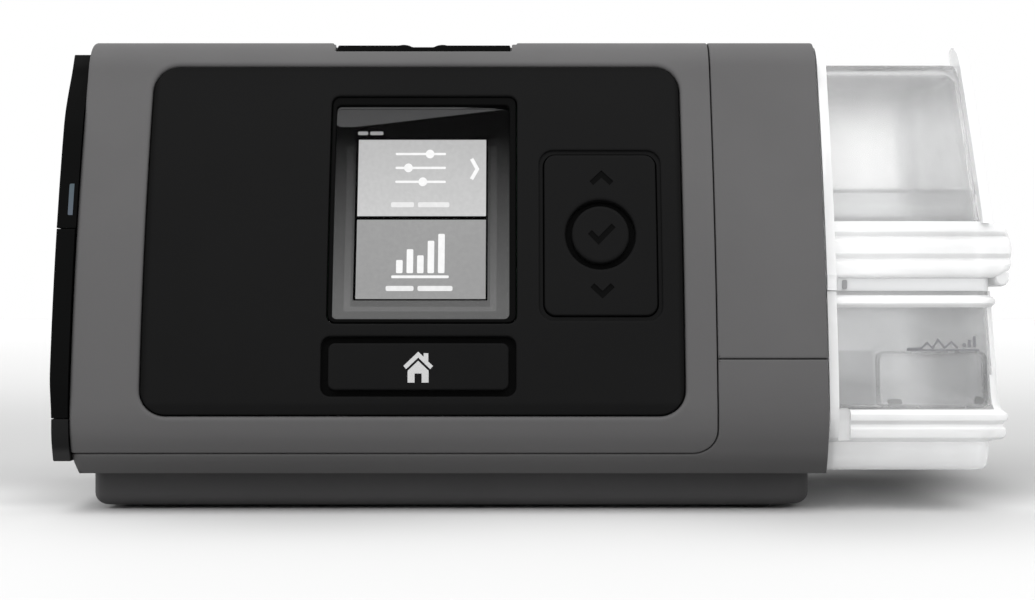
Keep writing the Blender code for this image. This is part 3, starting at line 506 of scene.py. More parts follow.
def panel(
    shape, at, outer, holes=(), pockets=(), r=0.4, thick=2.4, d0=0.0, grid=(), segs=3,
    hold=0.45, look=0, hole_r=None, back=True, edge_look=None,
):
    """A plate in surface coordinates with a rounded rim, through holes and sunk marks.
    at(u, s, depth) gives the point; pockets are (loop, depth, rim radius, floor look)."""
    hole_r = r if hole_r is None else hole_r
    radii = hole_r if isinstance(hole_r, (list, tuple)) else [hole_r] * len(holes)
    rims = [(turned_to(list(outer), True), r, thick, None)]
    rims += [(turned_to(list(h), False), k, thick, None) for h, k in zip(holes, radii)]
    rims += [(turned_to(list(p[0]), False), p[2], d0 + p[1], p) for p in pockets]
    verts, faces, looks = [], [], []
    tops, top_start = [], []
    backs = []
    for loop, radius, deep, pocket in rims:
        keep = hold if pocket is None else min(hold, 0.12)
        steps = [(radius + keep, d0)]
        if radius > 0.01:
            for k in range(segs + 1):
                a = PI / 2 * k / segs
                steps.append((radius * (1 - math.sin(a)), d0 + radius * (1 - math.cos(a))))
        else:
            steps.append((0.0, d0))
        steps.append((0.0, deep))
        if pocket is None and back:
            steps.append((radius + keep, deep))
        n = len(loop)
        base = len(verts)
        for off, dep in steps:
            verts += [at(u, s, dep) for u, s in shifted(loop, off)]
        for k in range(len(steps) - 1):
            for i in range(n):
                j = (i + 1) % n
                a, b = base + k * n, base + (k + 1) * n
                faces.append((a + i, a + j, b + j, b + i))
                looks.append(look if edge_look is None or k < 1 else edge_look)
        tops.append(shifted(loop, steps[0][0]))
        top_start.append(base)
        if pocket is None:
            if back:
                backs.append((shifted(loop, steps[-1][0]), base + (len(steps) - 1) * n))
        else:
            floor = turned_to(list(loop), True)
            order = list(range(n)) if floor[0] == loop[0] else list(range(n))[::-1]
            extra, tris = fill([floor], [], 0.3)
            start = len(verts)
            verts += [at(u, s, deep) for u, s in extra]
            last = base + (len(steps) - 1) * n
            for t in tris:
                faces.append(tuple(last + order[i] if i < n else start + i - n for i in t))
                looks.append(pocket[3])
    for loops, starts, dep in (
        (tops, top_start, d0),
        ([b[0] for b in backs], [b[1] for b in backs], thick),
    ):
        if not loops:
            continue
        extra, tris = fill(loops, grid)
        index = [s + i for loop, s in zip(loops, starts) for i in range(len(loop))]
        start = len(verts)
        verts += [at(u, s, dep) for u, s in extra]
        count = len(index)
        for t in tris:
            faces.append(tuple(index[i] if i < count else start + i - count for i in t))
            looks.append(look)
    shape.add(verts, faces, looks)


def skin(shape, rings, look=0, caps=(True, True)):
    """Faces between rings of equal count, with end caps filled as fans of one face each."""
    n = len(rings[0])
    verts = [p for r in rings for p in r]
    faces = []
    for k in range(len(rings) - 1):
        for i in range(n):
            j = (i + 1) % n
            faces.append((k * n + i, k * n + j, (k + 1) * n + j, (k + 1) * n + i))
    if caps[0]:
        faces.append(tuple(range(n)))
    if caps[1]:
        faces.append(tuple((len(rings) - 1) * n + i for i in range(n)))
    shape.add(verts, faces, look)


def lathe(shape, profile, centre, axis="z", n=48, look=0):
    """A closed ring turned about an axis; the profile is (radius, height), closed by itself."""
    cx, cy, cz = centre
    rings = []
    for k in range(n):
        c, s = math.cos(2 * PI * k / n), math.sin(2 * PI * k / n)
        row = []
        for r, h in profile:
            if axis == "z":
                row.append((cx + r * c, cy + r * s, cz + h))
            elif axis == "y":
                row.append((cx + r * c, cy + h, cz + r * s))
            else:
                row.append((cx + h, cy + r * c, cz + r * s))
        rings.append(row)
    m = len(profile)
    verts = [p for row in rings for p in row]
    faces = []
    for k in range(n):
        a, b = k * m, ((k + 1) % n) * m
        for i in range(m):
            j = (i + 1) % m
            faces.append((a + i, a + j, b + j, b + i))
    shape.add(verts, faces, look)


def solid_of(shape, name):
    bm = shape.bmesh()
    mesh = bpy.data.meshes.new(name)
    bm.to_mesh(mesh)
    bm.free()
    obj = bpy.data.objects.new(name, mesh)
    scene.collection.objects.link(obj)
    return obj


def carve(base, steps):
    """Applies unions and cuts to an object one after another and removes the tools."""
    for operation, tool in steps:
        mod = base.modifiers.new(operation.lower(), "BOOLEAN")
        mod.object = tool
        mod.operation = operation
        mod.solver = "EXACT"
    bpy.context.view_layer.update()
    dg = bpy.context.evaluated_depsgraph_get()
    mesh = bpy.data.meshes.new_from_object(base.evaluated_get(dg))
    base.modifiers.clear()
    base.data = mesh
    for _, tool in steps:
        bpy.data.objects.remove(tool, do_unlink=True)
    return base


# ------------------------------------------------------------ outer profile


def front_y(z):
    """Depth of the front face at a height above the chin: it leans back as it rises."""
    d = z - 26.0
    return -74.85 + 0.1504 * d + 0.00194 * d * d


def profile_points():
    knots = [(8.8, -69.1), (9.8, -70.0), (12.0, -71.7), (14.1, -72.8), (18.0, -74.35), (21.0, -74.9), (23.8, -75.0)]
    out = [(y, z) for z, y in knots]
    out += [(front_y(z), z) for z in (26, 29, 33, 38, 44, 50, 57, 64, 71, 78, 85, 92, 99, 105, 109, 112.0)]
    out += [(-46.45, 114.7), (-44.75, 117.4), (-42.1, 119.85), (-38.8, 121.45), (-35.2, 122.05)]
    out += [(-30.5, TOP_Z), (-24.0, TOP_Z), (0.0, TOP_Z), (24.0, TOP_Z), (36.0, TOP_Z), (42.0, TOP_Z)]
    out += [(47.0, 122.06), (51.5, 121.4), (55.5, 120.0), (59.0, 117.8), (61.9, 114.7), (64.1, 110.9)]
    out += [(65.5, 106.6), (BACK_Y, 102.0), (BACK_Y, 96.0), (BACK_Y, 85.0), (BACK_Y, 55.0)]
    out += [(BACK_Y, 30.0), (BACK_Y, 17.0), (BACK_Y, 8.8)]
    return out


def smooth_line(points, step=0.3):
    """A centripetal spline through the points, sampled finely."""
    pts = [np.array(p, float) for p in points]
    pts = [2 * pts[0] - pts[1]] + pts + [2 * pts[-1] - pts[-2]]
    out = []
    for i in range(1, len(pts) - 2):
        p0, p1, p2, p3 = pts[i - 1 : i + 3]
        t0 = 0.0
        t1 = t0 + np.linalg.norm(p1 - p0) ** 0.5
        t2 = t1 + np.linalg.norm(p2 - p1) ** 0.5
        t3 = t2 + np.linalg.norm(p3 - p2) ** 0.5
        m = max(2, int(np.linalg.norm(p2 - p1) / step))
        for k in range(m):
            t = t1 + (t2 - t1) * k / m
            a1 = (t1 - t) / (t1 - t0) * p0 + (t - t0) / (t1 - t0) * p1
            a2 = (t2 - t) / (t2 - t1) * p1 + (t - t1) / (t2 - t1) * p2
            a3 = (t3 - t) / (t3 - t2) * p2 + (t - t2) / (t3 - t2) * p3
            b1 = (t2 - t) / (t2 - t0) * a1 + (t - t0) / (t2 - t0) * a2
            b2 = (t3 - t) / (t3 - t1) * a2 + (t - t1) / (t3 - t1) * a3
            out.append((t2 - t) / (t2 - t1) * b1 + (t - t1) / (t2 - t1) * b2)
    out.append(pts[-2])
    return np.array(out)


class Profile:
    """The side outline of the shell, measured along its length from its front lower edge."""

    def __init__(self, points):
        self.p = smooth_line(points)
        d = np.diff(self.p, axis=0)
        self.s = np.concatenate(([0.0], np.cumsum(np.hypot(d[:, 0], d[:, 1]))))
        t = np.gradient(self.p, axis=0)
        for _ in range(3):
            t[1:-1] = (t[:-2] + 2 * t[1:-1] + t[2:]) / 4
        t /= np.hypot(t[:, 0], t[:, 1])[:, None]
        self.n = np.stack((-t[:, 1], t[:, 0]), axis=1)
        top = int(np.argmax(self.p[:, 1] > TOP_Z - 0.02))
        self.top = top
        self.end = float(self.s[-1])
        self.back = int(np.argmax(self.p[:, 0] > BACK_Y - 0.01))

    def at(self, s):
        y = float(np.interp(s, self.s, self.p[:, 0]))
        z = float(np.interp(s, self.s, self.p[:, 1]))
        ny = float(np.interp(s, self.s, self.n[:, 0]))
        nz = float(np.interp(s, self.s, self.n[:, 1]))
        k = math.hypot(ny, nz)
        return y, z, ny / k, nz / k

    def front(self, z):
        return float(np.interp(z, self.p[: self.top + 1, 1], self.s[: self.top + 1]))

    def over(self, y):
        """Length along the outline at a depth on the top."""
        i = int(np.argmax(self.p[:, 0] > -48.0))
        return float(np.interp(y, self.p[i : self.back, 0], self.s[i : self.back]))

    def rear(self, z):
        part = slice(self.top, None)
        return float(np.interp(-z, -self.p[part, 1], self.s[part]))

    def rows(self, s0, s1, step=6.0, turn=4.0):
        out, last = [s0], s0
        ang = np.unwrap(np.arctan2(self.n[:, 1], self.n[:, 0]))
        a_last = float(np.interp(s0, self.s, ang))
        s = s0
        while s < s1 - 0.3:
            s += 0.2
            a = float(np.interp(s, self.s, ang))
            if abs(a - a_last) > math.radians(turn) or s - last > step:
                out.append(s)
                last, a_last = s, a
        if s1 - out[-1] < 0.35:
            out.pop()
        out.append(s1)
        return out


P = Profile(profile_points())
S_BAND = P.front(BAND_Z)
S_SEAM_LO = P.front(SEAM_Z - 0.15)
S_SEAM_HI = P.front(SEAM_Z + 0.15)
S_SPLIT = P.over(8.0)
S_END = P.rear(SEAM_Z + 0.15)


def on_profile(x, s, d):
    y, z, ny, nz = P.at(s)
    return (x, y - ny * d, z - nz * d)


LEFT_X, ROLL = -118.0, 1.2


def on_shell(u, s, d):
    """The shell's skin: past its left end it rolls over into a flat side wall."""
    x, dep, nx, nn = u, 0.0, 0.0, 1.0
    e = (LEFT_X + ROLL) - u
    if e > 0:
        a = e / ROLL
        if a < PI / 2:
            x = LEFT_X + ROLL - ROLL * math.sin(a)
            dep = ROLL * (1 - math.cos(a))
            nx, nn = -math.sin(a), math.cos(a)
        else:
            x, dep, nx, nn = LEFT_X, ROLL + (e - ROLL * PI / 2), -1.0, 0.0
    x -= nx * d
    dep += nn * d
    y, z, ny, nz = P.at(s)
    return (x, y - ny * dep, z - nz * dep)


BASE_R = 3.0
BASE_LEFT = -118.15
FRONT_Y0 = -72.8


def base_path(u):
    """Point and outward direction along the base's outline, from its right front end round the left."""
    x0 = BASE_LEFT + BASE_R
    q = BASE_R * PI / 2
    if u >= x0:
        return u, FRONT_Y0, 0.0, -1.0
    e = x0 - u
    if e < q:
        a = e / BASE_R
        return x0 - BASE_R * math.sin(a), FRONT_Y0 + BASE_R * (1 - math.cos(a)), -math.sin(a), -math.cos(a)
    e -= q
    side = (BACK_Y - BASE_R) - (FRONT_Y0 + BASE_R)
    if e < side:
        return BASE_LEFT, FRONT_Y0 + BASE_R + e, -1.0, 0.0
    e -= side
    if e < q:
        a = e / BASE_R
        return BASE_LEFT + BASE_R * (1 - math.cos(a)), BACK_Y - BASE_R + BASE_R * math.sin(a), -math.cos(a), math.sin(a)
    e -= q
    return x0 + e, BACK_Y, 0.0, 1.0


BASE_U_END = (BASE_LEFT + BASE_R) - 2 * BASE_R * PI / 2 - ((BACK_Y - BASE_R) - (FRONT_Y0 + BASE_R)) - (74.0 - (BASE_LEFT + BASE_R))


def on_base(u, s, d):
    """Skin of the base: the band goes right round, the tub bay's sleeve rises from its front."""
    y, z, ny, nz = P.at(s)
    if u >= BASE_LEFT + BASE_R:
        return (u, y - ny * d, z - nz * d)
    px, py, nx, n2 = base_path(u)
    inset = (y - FRONT_Y0) + d * -ny
    return (px - nx * inset * 0.55, py - n2 * inset, z - nz * d)


def seen(loop):
    """Turns an outline seen from the front into surface coordinates."""
    return [(x, P.front(z)) for x, z in loop]


def spread(lo, hi, step):
    n = max(1, int(round((hi - lo) / step)))
    return [lo + (hi - lo) * k / n for k in range(n + 1)]


def lattice(us, ss):
    return [(u, s) for u in us for s in ss]


def soft(points, r, n=5):
    """Rounds each corner of an open or closed outline by a small radius."""
    out = []
    m = len(points)
    for i in range(m):
        p0, p, p1 = (np.array(points[(i + k) % m], float) for k in (-1, 0, 1))
        a, b = p0 - p, p1 - p
        la, lb = np.linalg.norm(a), np.linalg.norm(b)
        if la < 1e-6 or lb < 1e-6:
            continue
        cosine = float(a @ b) / (la * lb)
        if cosine < -0.94:
            out.append(tuple(p))
            continue
        d = min(r, la * 0.45, lb * 0.45)
        q0, q1 = p + a / la * d, p + b / lb * d
        for k in range(n + 1):
            t = k / n
            out.append(tuple((1 - t) ** 2 * q0 + 2 * t * (1 - t) * p + t * t * q1))
    return out


# --------------------------------------------------------------- the shells

FASCIA_BOX = (-100.2, 37.6, 24.0, 114.7)
FASCIA_R = 6.5
GAP = 0.3
roll_cols = [LEFT_X + ROLL - ROLL * PI / 2 * k / 8 for k in range(8, -1, -1)]


def front_cover():
    shape = Shape()
    rows = P.rows(S_SEAM_HI, S_SPLIT)
    cols = [-120.6] + roll_cols + spread(-110.0, 44.0, 7.0)
    outer = [(-120.9, S_SEAM_HI)]
    cx, cs, r = 45.85 - 6.2, S_SEAM_HI + 6.2, 6.2
    outer += [
        (cx + r * math.sin(PI / 2 * k / 10), cs - r * math.cos(PI / 2 * k / 10)) for k in range(11)
    ]
    outer += [(45.85, S_SPLIT - 0.15), (-120.9, S_SPLIT - 0.15)]
    outer = cut_at(cut_at(outer, rows, 1), cols, 0)
    a0, a1, b0, b1 = FASCIA_BOX
    hole = rrect(a0 - GAP, a1 + GAP, b0 - GAP, b1 + GAP, FASCIA_R + GAP, 10)
    hole = cut_at(seen(hole), rows, 1)
    hole = cut_at(hole, spread(-96, 34, 10), 0)
    recess = [(-53.0, -43.0), (-6.2, -43.0), (-6.2, -39.2), (-4.9, -39.2), (-4.9, -22.6)]
    recess += [(-54.0, -22.6), (-54.0, -39.2), (-53.0, -39.2)]
    recess = [(x, P.over(y)) for x, y in soft(recess, 0.5, 3)]
    recess = cut_at(cut_at(recess, spread(-50, -8, 6), 0), rows, 1)
    panel(
        shape, on_shell, outer, [hole, recess], r=0.35, thick=2.4, segs=4,
        grid=lattice(cols, rows), hole_r=(1.0, 0.3),
    )
    # Floor of the recess round the start key
    floor = [(-54.6, -39.0), (-53.0, -39.0), (-53.0, -23.6), (-6.2, -23.6), (-6.2, -39.0)]
    floor += [(-4.2, -39.0), (-4.2, -22.0), (-54.6, -22.0)]
    panel(
        shape, lambda u, s, d: (u, s, 120.6 - d), floor, r=0.12, thick=1.2, hold=0.1,
    )
    side_wall(shape, True)
    obj = shape.object("front_cover_skin", [SHELL, GROOVE])
    place(obj, "housing", "front_cover")


def side_wall(shape, front):
    """The flat wall of the shell behind the side covers, with its slots."""
    inset = 2.9
    if front:
        s0, s1 = S_SEAM_HI + 3.0, P.over(7.4)
    else:
        s0, s1 = P.over(8.8), S_END - 3.0
    edge = []
    for s in P.rows(s0, s1, 8.0, 8.0):
        y, z, ny, nz = P.at(s)
        edge.append((y - ny * inset, z - nz * inset))
    z0 = 16.5
    if front:
        outline = edge + [(7.85, edge[-1][1]), (7.85, z0), (edge[0][0], z0)]
        holes = [rrect(-59.4, -33.4, 43.6, 48.4, 0.8, 3)]
    else:
        outline = [(8.45, z0), (8.45, edge[0][1])] + edge + [(edge[-1][0], z0)]
        holes = [rrect(13.6, 34.4, 38.6, 55.4, 1.5, 4)]
    panel(
        shape, lambda u, s, d: (-117.85 + d, u, s), outline, holes, r=0.0, thick=2.2,
        hole_r=0.4, hold=0.3,
    )


def rear_housing():
    shape = Shape()
    start = S_SPLIT + 0.15
    rows = P.rows(start, S_END)
    cols = [-120.6] + roll_cols + spread(-110.0, 44.0, 9.0)
    outer = cut_at(cut_at(rrect(-120.9, 45.85, start, S_END), rows, 1), cols, 0)
    holes = []
    for x0, x1, z0, z1, r in ((-101.4, -58.6, 21.6, 56.4, 1.6), (-38.3, -21.7, 24.7, 39.3, 1.2)):
        loop = [(x, P.rear(z)) for x, z in rrect(x0, x1, z0, z1, r, 5)]
        holes.append(cut_at(loop, rows, 1))
    panel(
        shape, on_shell, outer, holes, (), r=0.35, thick=2.4,
        grid=lattice(cols, rows), hole_r=0.4,
    )
    side_wall(shape, False)
    # Ears of the plug clip
    for x in (-43.0, -19.4):
        ear = [(64.5, 41.5)] + [(69.0 + 1.0 * math.cos(t), 42.5 + 1.0 * math.sin(t)) for t in np.linspace(-PI / 2, 0, 5)]
        ear += [(69.0 + 1.0 * math.cos(t), 46.0 + 1.0 * math.sin(t)) for t in np.linspace(0, PI / 2, 5)]
        ear += [(64.5, 47.0)]
        panel(shape, lambda u, s, d, x=x: (x + d, u, s), ear, r=0.25, thick=2.4, hold=0.2)
    obj = shape.object("rear_housing_skin", [SHELL, GROOVE])
    place(obj, "housing", "rear_housing")


def base_housing():
    shape = Shape()
    z_split = 38.2
    s_lo, s_hi = P.front(z_split - 0.13), P.front(z_split + 0.13)
    top = P.rear(SEAM_Z + 0.05)
    # Lower part: the band right round, and the foot of the sleeve up to the fine seam
    q = BASE_R * PI / 2
    x0 = BASE_LEFT + BASE_R
    cols = spread(x0, 44.0, 9.0) + spread(46.4, 73.4, 4.5)
    cols += [x0 - q * k / 8 for k in range(1, 9)]
    side = (BACK_Y - BASE_R) - (FRONT_Y0 + BASE_R)
    cols += [x0 - q - side * k / 12 for k in range(1, 12)]
    cols += [x0 - q - side - q * k / 8 for k in range(0, 9)]
    end = BASE_U_END
    cols += [x0 - 2 * q - side - (74.0 - x0) * k / 16 for k in range(1, 17)]
    cols = sorted(cols)
    rows_band = P.rows(S_BAND, S_SEAM_LO, 2.0, 4.0)
    rows = sorted(rows_band + P.rows(S_SEAM_LO + 0.8, s_lo, 4.0, 3.0))
    outer = [(end, S_BAND), (74.0, S_BAND), (74.0, s_lo), (46.15, s_lo)]
    cx, cs, r = 46.15 - 6.5, S_SEAM_LO + 6.5, 6.5
    outer += [(cx + r * math.cos(PI / 2 * k / 10), cs - r * math.sin(PI / 2 * k / 10)) for k in range(11)]
    outer += [(end, S_SEAM_LO)]
    outer = cut_at(cut_at(outer, rows, 1), cols, 0)
    panel(
        shape, on_base, outer, r=0.35, thick=2.4, grid=lattice(cols, rows), hold=0.35,
    )
    # Upper part of the sleeve
    rows = P.rows(s_hi, top)
    cols = spread(46.4, 73.4, 4.5)
    outer = cut_at(cut_at(rrect(46.15, 74.0, s_hi, top), rows, 1), cols, 0)
    hole = [(x, P.rear(z)) for x, z in ring(58.0, 88.0, 11.5, 40)]
    panel(
        shape, on_profile, outer, [cut_at(hole, rows, 1)], r=0.4, thick=2.4,
        grid=lattice(cols, rows), hold=0.35, hole_r=0.5,
    )
    # Closing floor of the fine seam
    rows = [s_lo - 1.0, s_hi + 1.0]
    skin(shape, [
        [on_profile(x, rows[0], 0.3) for x in (46.5, 73.5)] + [on_profile(x, rows[1], 0.3) for x in (73.5, 46.5)],
        [on_profile(x, rows[0], 2.0) for x in (46.5, 73.5)] + [on_profile(x, rows[1], 2.0) for x in (73.5, 46.5)],
    ], 1)
    obj = shape.object("base_housing_skin", [BASE, GROOVE])
    place(obj, "housing", "base_housing")

    # Plinth and underside
    shape = Shape()

    def plinth_ring(inset, z):
        return [(x, y, z) for x, y in rrect(-114.3 + inset, 71.2 - inset, -60.0 + inset, 62.5 - inset, [q - min(inset, 6.0) * 0.4 for q in (3.2, 8.0, 8.0, 3.2)], 8)]

    levels = [(4.0, 9.6), (0.0, 9.6), (0.0, 3.2)]
    levels += [(3.2 * (1 - math.cos(a)), 3.2 - 3.2 * math.sin(a)) for a in np.linspace(0.25, PI / 2 * 0.98, 6)]
    rings = [plinth_ring(i, z) for i, z in levels]
    skin(shape, rings, 0, (True, False))
    bottom = [(x, y) for x, y, _ in rings[-1]]
    z = rings[-1][0][2]
    feet = [ring(x, y, 6.6, 32) for x in (-98.0, 56.0) for y in (-46.0, 48.0)]
    screws = [ring(x, y, 3.3, 20) for x, y in ((-104, -30), (-104, 30), (62, -30), (62, 36))]
    loops = [turned_to(bottom, True)] + [turned_to(h, False) for h in feet + screws]
    extra, tris = fill(loops, lattice(spread(-108, 66, 16), spread(-55, 57, 16)), 2.0)
    flat = [p for loop in loops for p in loop] + extra
    shape.add([(x, y, z) for x, y in flat], tris, 0)
    for loop, deep in [(h, 1.9) for h in feet] + [(h, 2.1) for h in screws]:
        walls = [[(x, y, z) for x, y in loop], [(x, y, z + deep) for x, y in loop]]
        skin(shape, walls, 0, (False, True))
    # Ledge between the plinth and the band
    outline = rrect(-114.9, 72.8, -67.4, 62.6, (3, 1, 1, 3), 8)
    panel(shape, lambda u, s, d: (u, s, 9.3 + d), outline, r=0.3, thick=1.6, hold=0.3)
    obj = shape.object("plinth", [FOOT_GREY, GROOVE])
    place(obj, "housing")


def at_left(x_face, thick=4.7):
    """Surface of a plate on the left side; its face draws in a little towards the bottom."""
    def at(u, s, d):
        t = min(1.0, max(0.0, (35.0 - s) / 12.0))
        return (x_face + 0.5 * t * t * (3 - 2 * t) * (1.0 - d / thick) + d, u, s)

    return at


SIDE_ROWS = [25.0, 27.0, 29.0, 31.0, 33.0, 35.0, 40.0, 48.0, 56.0, 64.0, 70.0, 76.0, 84.0, 92.0, 100.0, 108.0, 115.0]
SIDE_COLS = spread(-66.0, 57.0, 8.2)


def fine(outline):
    """Adds points along the straight runs of a side cover's outline."""
    return cut_at(cut_at(outline, SIDE_ROWS, 1), SIDE_COLS, 0)


def follow(z0, z1, off, steps=10):
    """Points (y, z) along the front face, moved back by an amount."""
    out = []
    for k in range(steps + 1):
        z = z0 + (z1 - z0) * k / steps
        out.append((max(P.at(P.front(z))[0] + off, -74.96), z))
    return out


def side_covers():
    x = -123.0
    outline = follow(71.55, 99.0, -0.6, 8)
    outline += [(-53.0, 101.0), (-51.8, 102.9), (-50.3, 104.8), (-48.6, 106.8), (-46.8, 108.8), (-44.9, 110.8), (-43.0, 112.8)]
    outline += [(-41.4, 114.7), (-39.9, 116.6), (-38.4, 118.6), (46.0, 118.6)]
    outline += [(50.0, 118.1), (53.5, 116.8), (56.5, 114.3), (58.8, 110.5), (60.0, 105.0), (60.0, 71.55)]
    shape = Shape()
    panel(shape, at_left(x, 4.9), fine(soft(outline, 0.25)), r=0.2, thick=4.9, segs=4, hold=0.5,
          grid=lattice(SIDE_COLS, SIDE_ROWS))
    obj = shape.object("side_panel_skin", [SIDE])
    place(obj, "housing", "side_panel")

    outline = follow(23.2, 71.4, -0.6, 12) + [(-21.6, 71.4), (-21.6, 23.2)]
    shape = Shape()
    panel(shape, at_left(x), fine(soft(outline, 0.25)), r=0.2, thick=4.7, segs=4, hold=0.5,
          grid=lattice(SIDE_COLS, SIDE_ROWS))
    obj = shape.object("card_cover_skin", [SIDE])
    place(obj, "card_cover", "card_cover")

    outline = rrect(-21.0, 60.0, 23.2, 71.4, (0.5, 3, 3, 0.5), 6)
    shape = Shape()
    panel(shape, at_left(x), fine(outline), r=0.2, thick=4.7, segs=4, hold=0.5,
          grid=lattice(SIDE_COLS, SIDE_ROWS))
    obj = shape.object("adapter_cover_skin", [SIDE])
    place(obj, "adapter_cover", "adapter_cover")

    outline = follow(12.2, 23.05, -0.4, 6) + [(60.0, 23.05), (60.0, 12.2)]
    shape = Shape()
    panel(shape, at_left(-123.0, 4.8), fine(soft(outline, 0.35)), r=0.3, thick=4.8, segs=4, hold=0.5,
          grid=lattice(SIDE_COLS, [14.5, 17.5, 20.5]))
    obj = shape.object("side_rail_skin", [RAIL])
    place(obj, "housing", "side_rail")


# ------------------------------------------------------------------ fascia


def fascia():
    shape = Shape()
    rows = P.rows(P.front(24.0), P.front(114.0), 5.0, 2.5)
    outer = cut_at(seen(rrect(*FASCIA_BOX, FASCIA_R, 10)), rows, 1)
    outer = cut_at(outer, spread(-96, 34, 10), 0)
    holes = [
        seen(rrect(-53.4, -4.8, 47.2, 106.9, 2.2, 6)),
        seen(rrect(-54.6, -5.05, 28.8, 44.0, 2.4, 6)),
        seen(rrect(0.9, 32.3, 48.0, 92.2, 3.6, 8)),
    ]
    holes = [cut_at(cut_at(h, rows, 1), spread(-50, 30, 8), 0) for h in holes]
    panel(
        shape, on_profile, outer, holes, d0=0.25, r=0.4, thick=2.8, hole_r=0.4,
        grid=lattice(spread(-98, 36, 6.0), rows), hold=0.5,
    )
    obj = shape.object("fascia_skin", [FASCIA])
    place(obj, "housing", "fascia_panel")


front_cover()
rear_housing()
base_housing()
side_covers()
fascia()


# ---------------------------------------------------- keys, screen, status light


def chip(shape, at, loop, d0, d1, look=0, rows=()):
    """A small flat piece with straight sides between two depths."""
    loop = turned_to(list(loop), True)
    extra, tris = fill([loop], [], 0.2)
    both = loop + extra
    n, m = len(loop), len(loop) + len(extra)
    verts = [at(u, s, d0) for u, s in both] + [at(u, s, d1) for u, s in both]
    faces = list(tris) + [tuple(m + i for i in reversed(t)) for t in tris]
    faces += [(i, (i + 1) % n, m + (i + 1) % n, m + i) for i in range(n)]
    shape.add(verts, faces, look)


def stroke(points, w):
    """Outline of a line of even width through the points, with square ends."""
    left, right = [], []
    n = len(points)
    for i, (x, y) in enumerate(points):
        if i:
            ax, ay = x - points[i - 1][0], y - points[i - 1][1]
        else:
            ax, ay = points[1][0] - x, points[1][1] - y
        if i < n - 1:
            bx, by = points[i + 1][0] - x, points[i + 1][1] - y
        else:
            bx, by = ax, ay
        la, lb = math.hypot(ax, ay), math.hypot(bx, by)
        n1, n2 = (-ay / la, ax / la), (-by / lb, bx / lb)
        k = max(1.0 + n1[0] * n2[0] + n1[1] * n2[1], 0.4)
        dx, dy = (n1[0] + n2[0]) / k * w / 2, (n1[1] + n2[1]) / k * w / 2
        left.append((x + dx, y + dy))
        right.append((x - dx, y - dy))
    return left + right[::-1]


def flow_rows(z0, z1):
    return P.rows(P.front(z0), P.front(z1), 5.0, 2.5)


def fitted(loop, z0, z1, step=8.0):
    """Adds points to a front outline so that it follows the curved face."""
    us = [p[0] for p in loop]
    return cut_at(cut_at(seen(loop), flow_rows(z0, z1), 1), spread(min(us), max(us), step), 0)


def home_key():
    shape = Shape()
    panel(
        shape, on_profile, fitted(rrect(-52.7, -6.95, 30.4, 42.2, 1.7, 7), 30.4, 42.2), d0=0.0, r=0.45,
        thick=2.2, grid=lattice(spread(-50, -9, 6.0), [P.front(z) for z in (33.0, 36.3, 39.6)]), segs=4,
    )
    at = lambda u, z, d: on_profile(u, P.front(z), d)
    roof = [(-33.6, 36.4), (-29.85, 40.0), (-28.5, 38.7), (-28.5, 39.6), (-27.3, 39.6), (-27.3, 37.5)]
    roof += [(-26.1, 36.4), (-26.8, 35.6), (-29.85, 38.5), (-32.9, 35.6)]
    walls = [(-32.5, 35.2), (-29.85, 37.7), (-27.2, 35.2), (-27.2, 32.2), (-28.95, 32.2)]
    walls += [(-28.95, 34.5), (-30.75, 34.5), (-30.75, 32.2), (-32.5, 32.2)]
    chip(shape, at, roof, -0.06, 0.2, 1)
    chip(shape, at, walls, -0.06, 0.2, 1)
    obj = shape.object("home_key", [KEY, WHITE_MARK])
    place(obj, "home_button", "home_button")


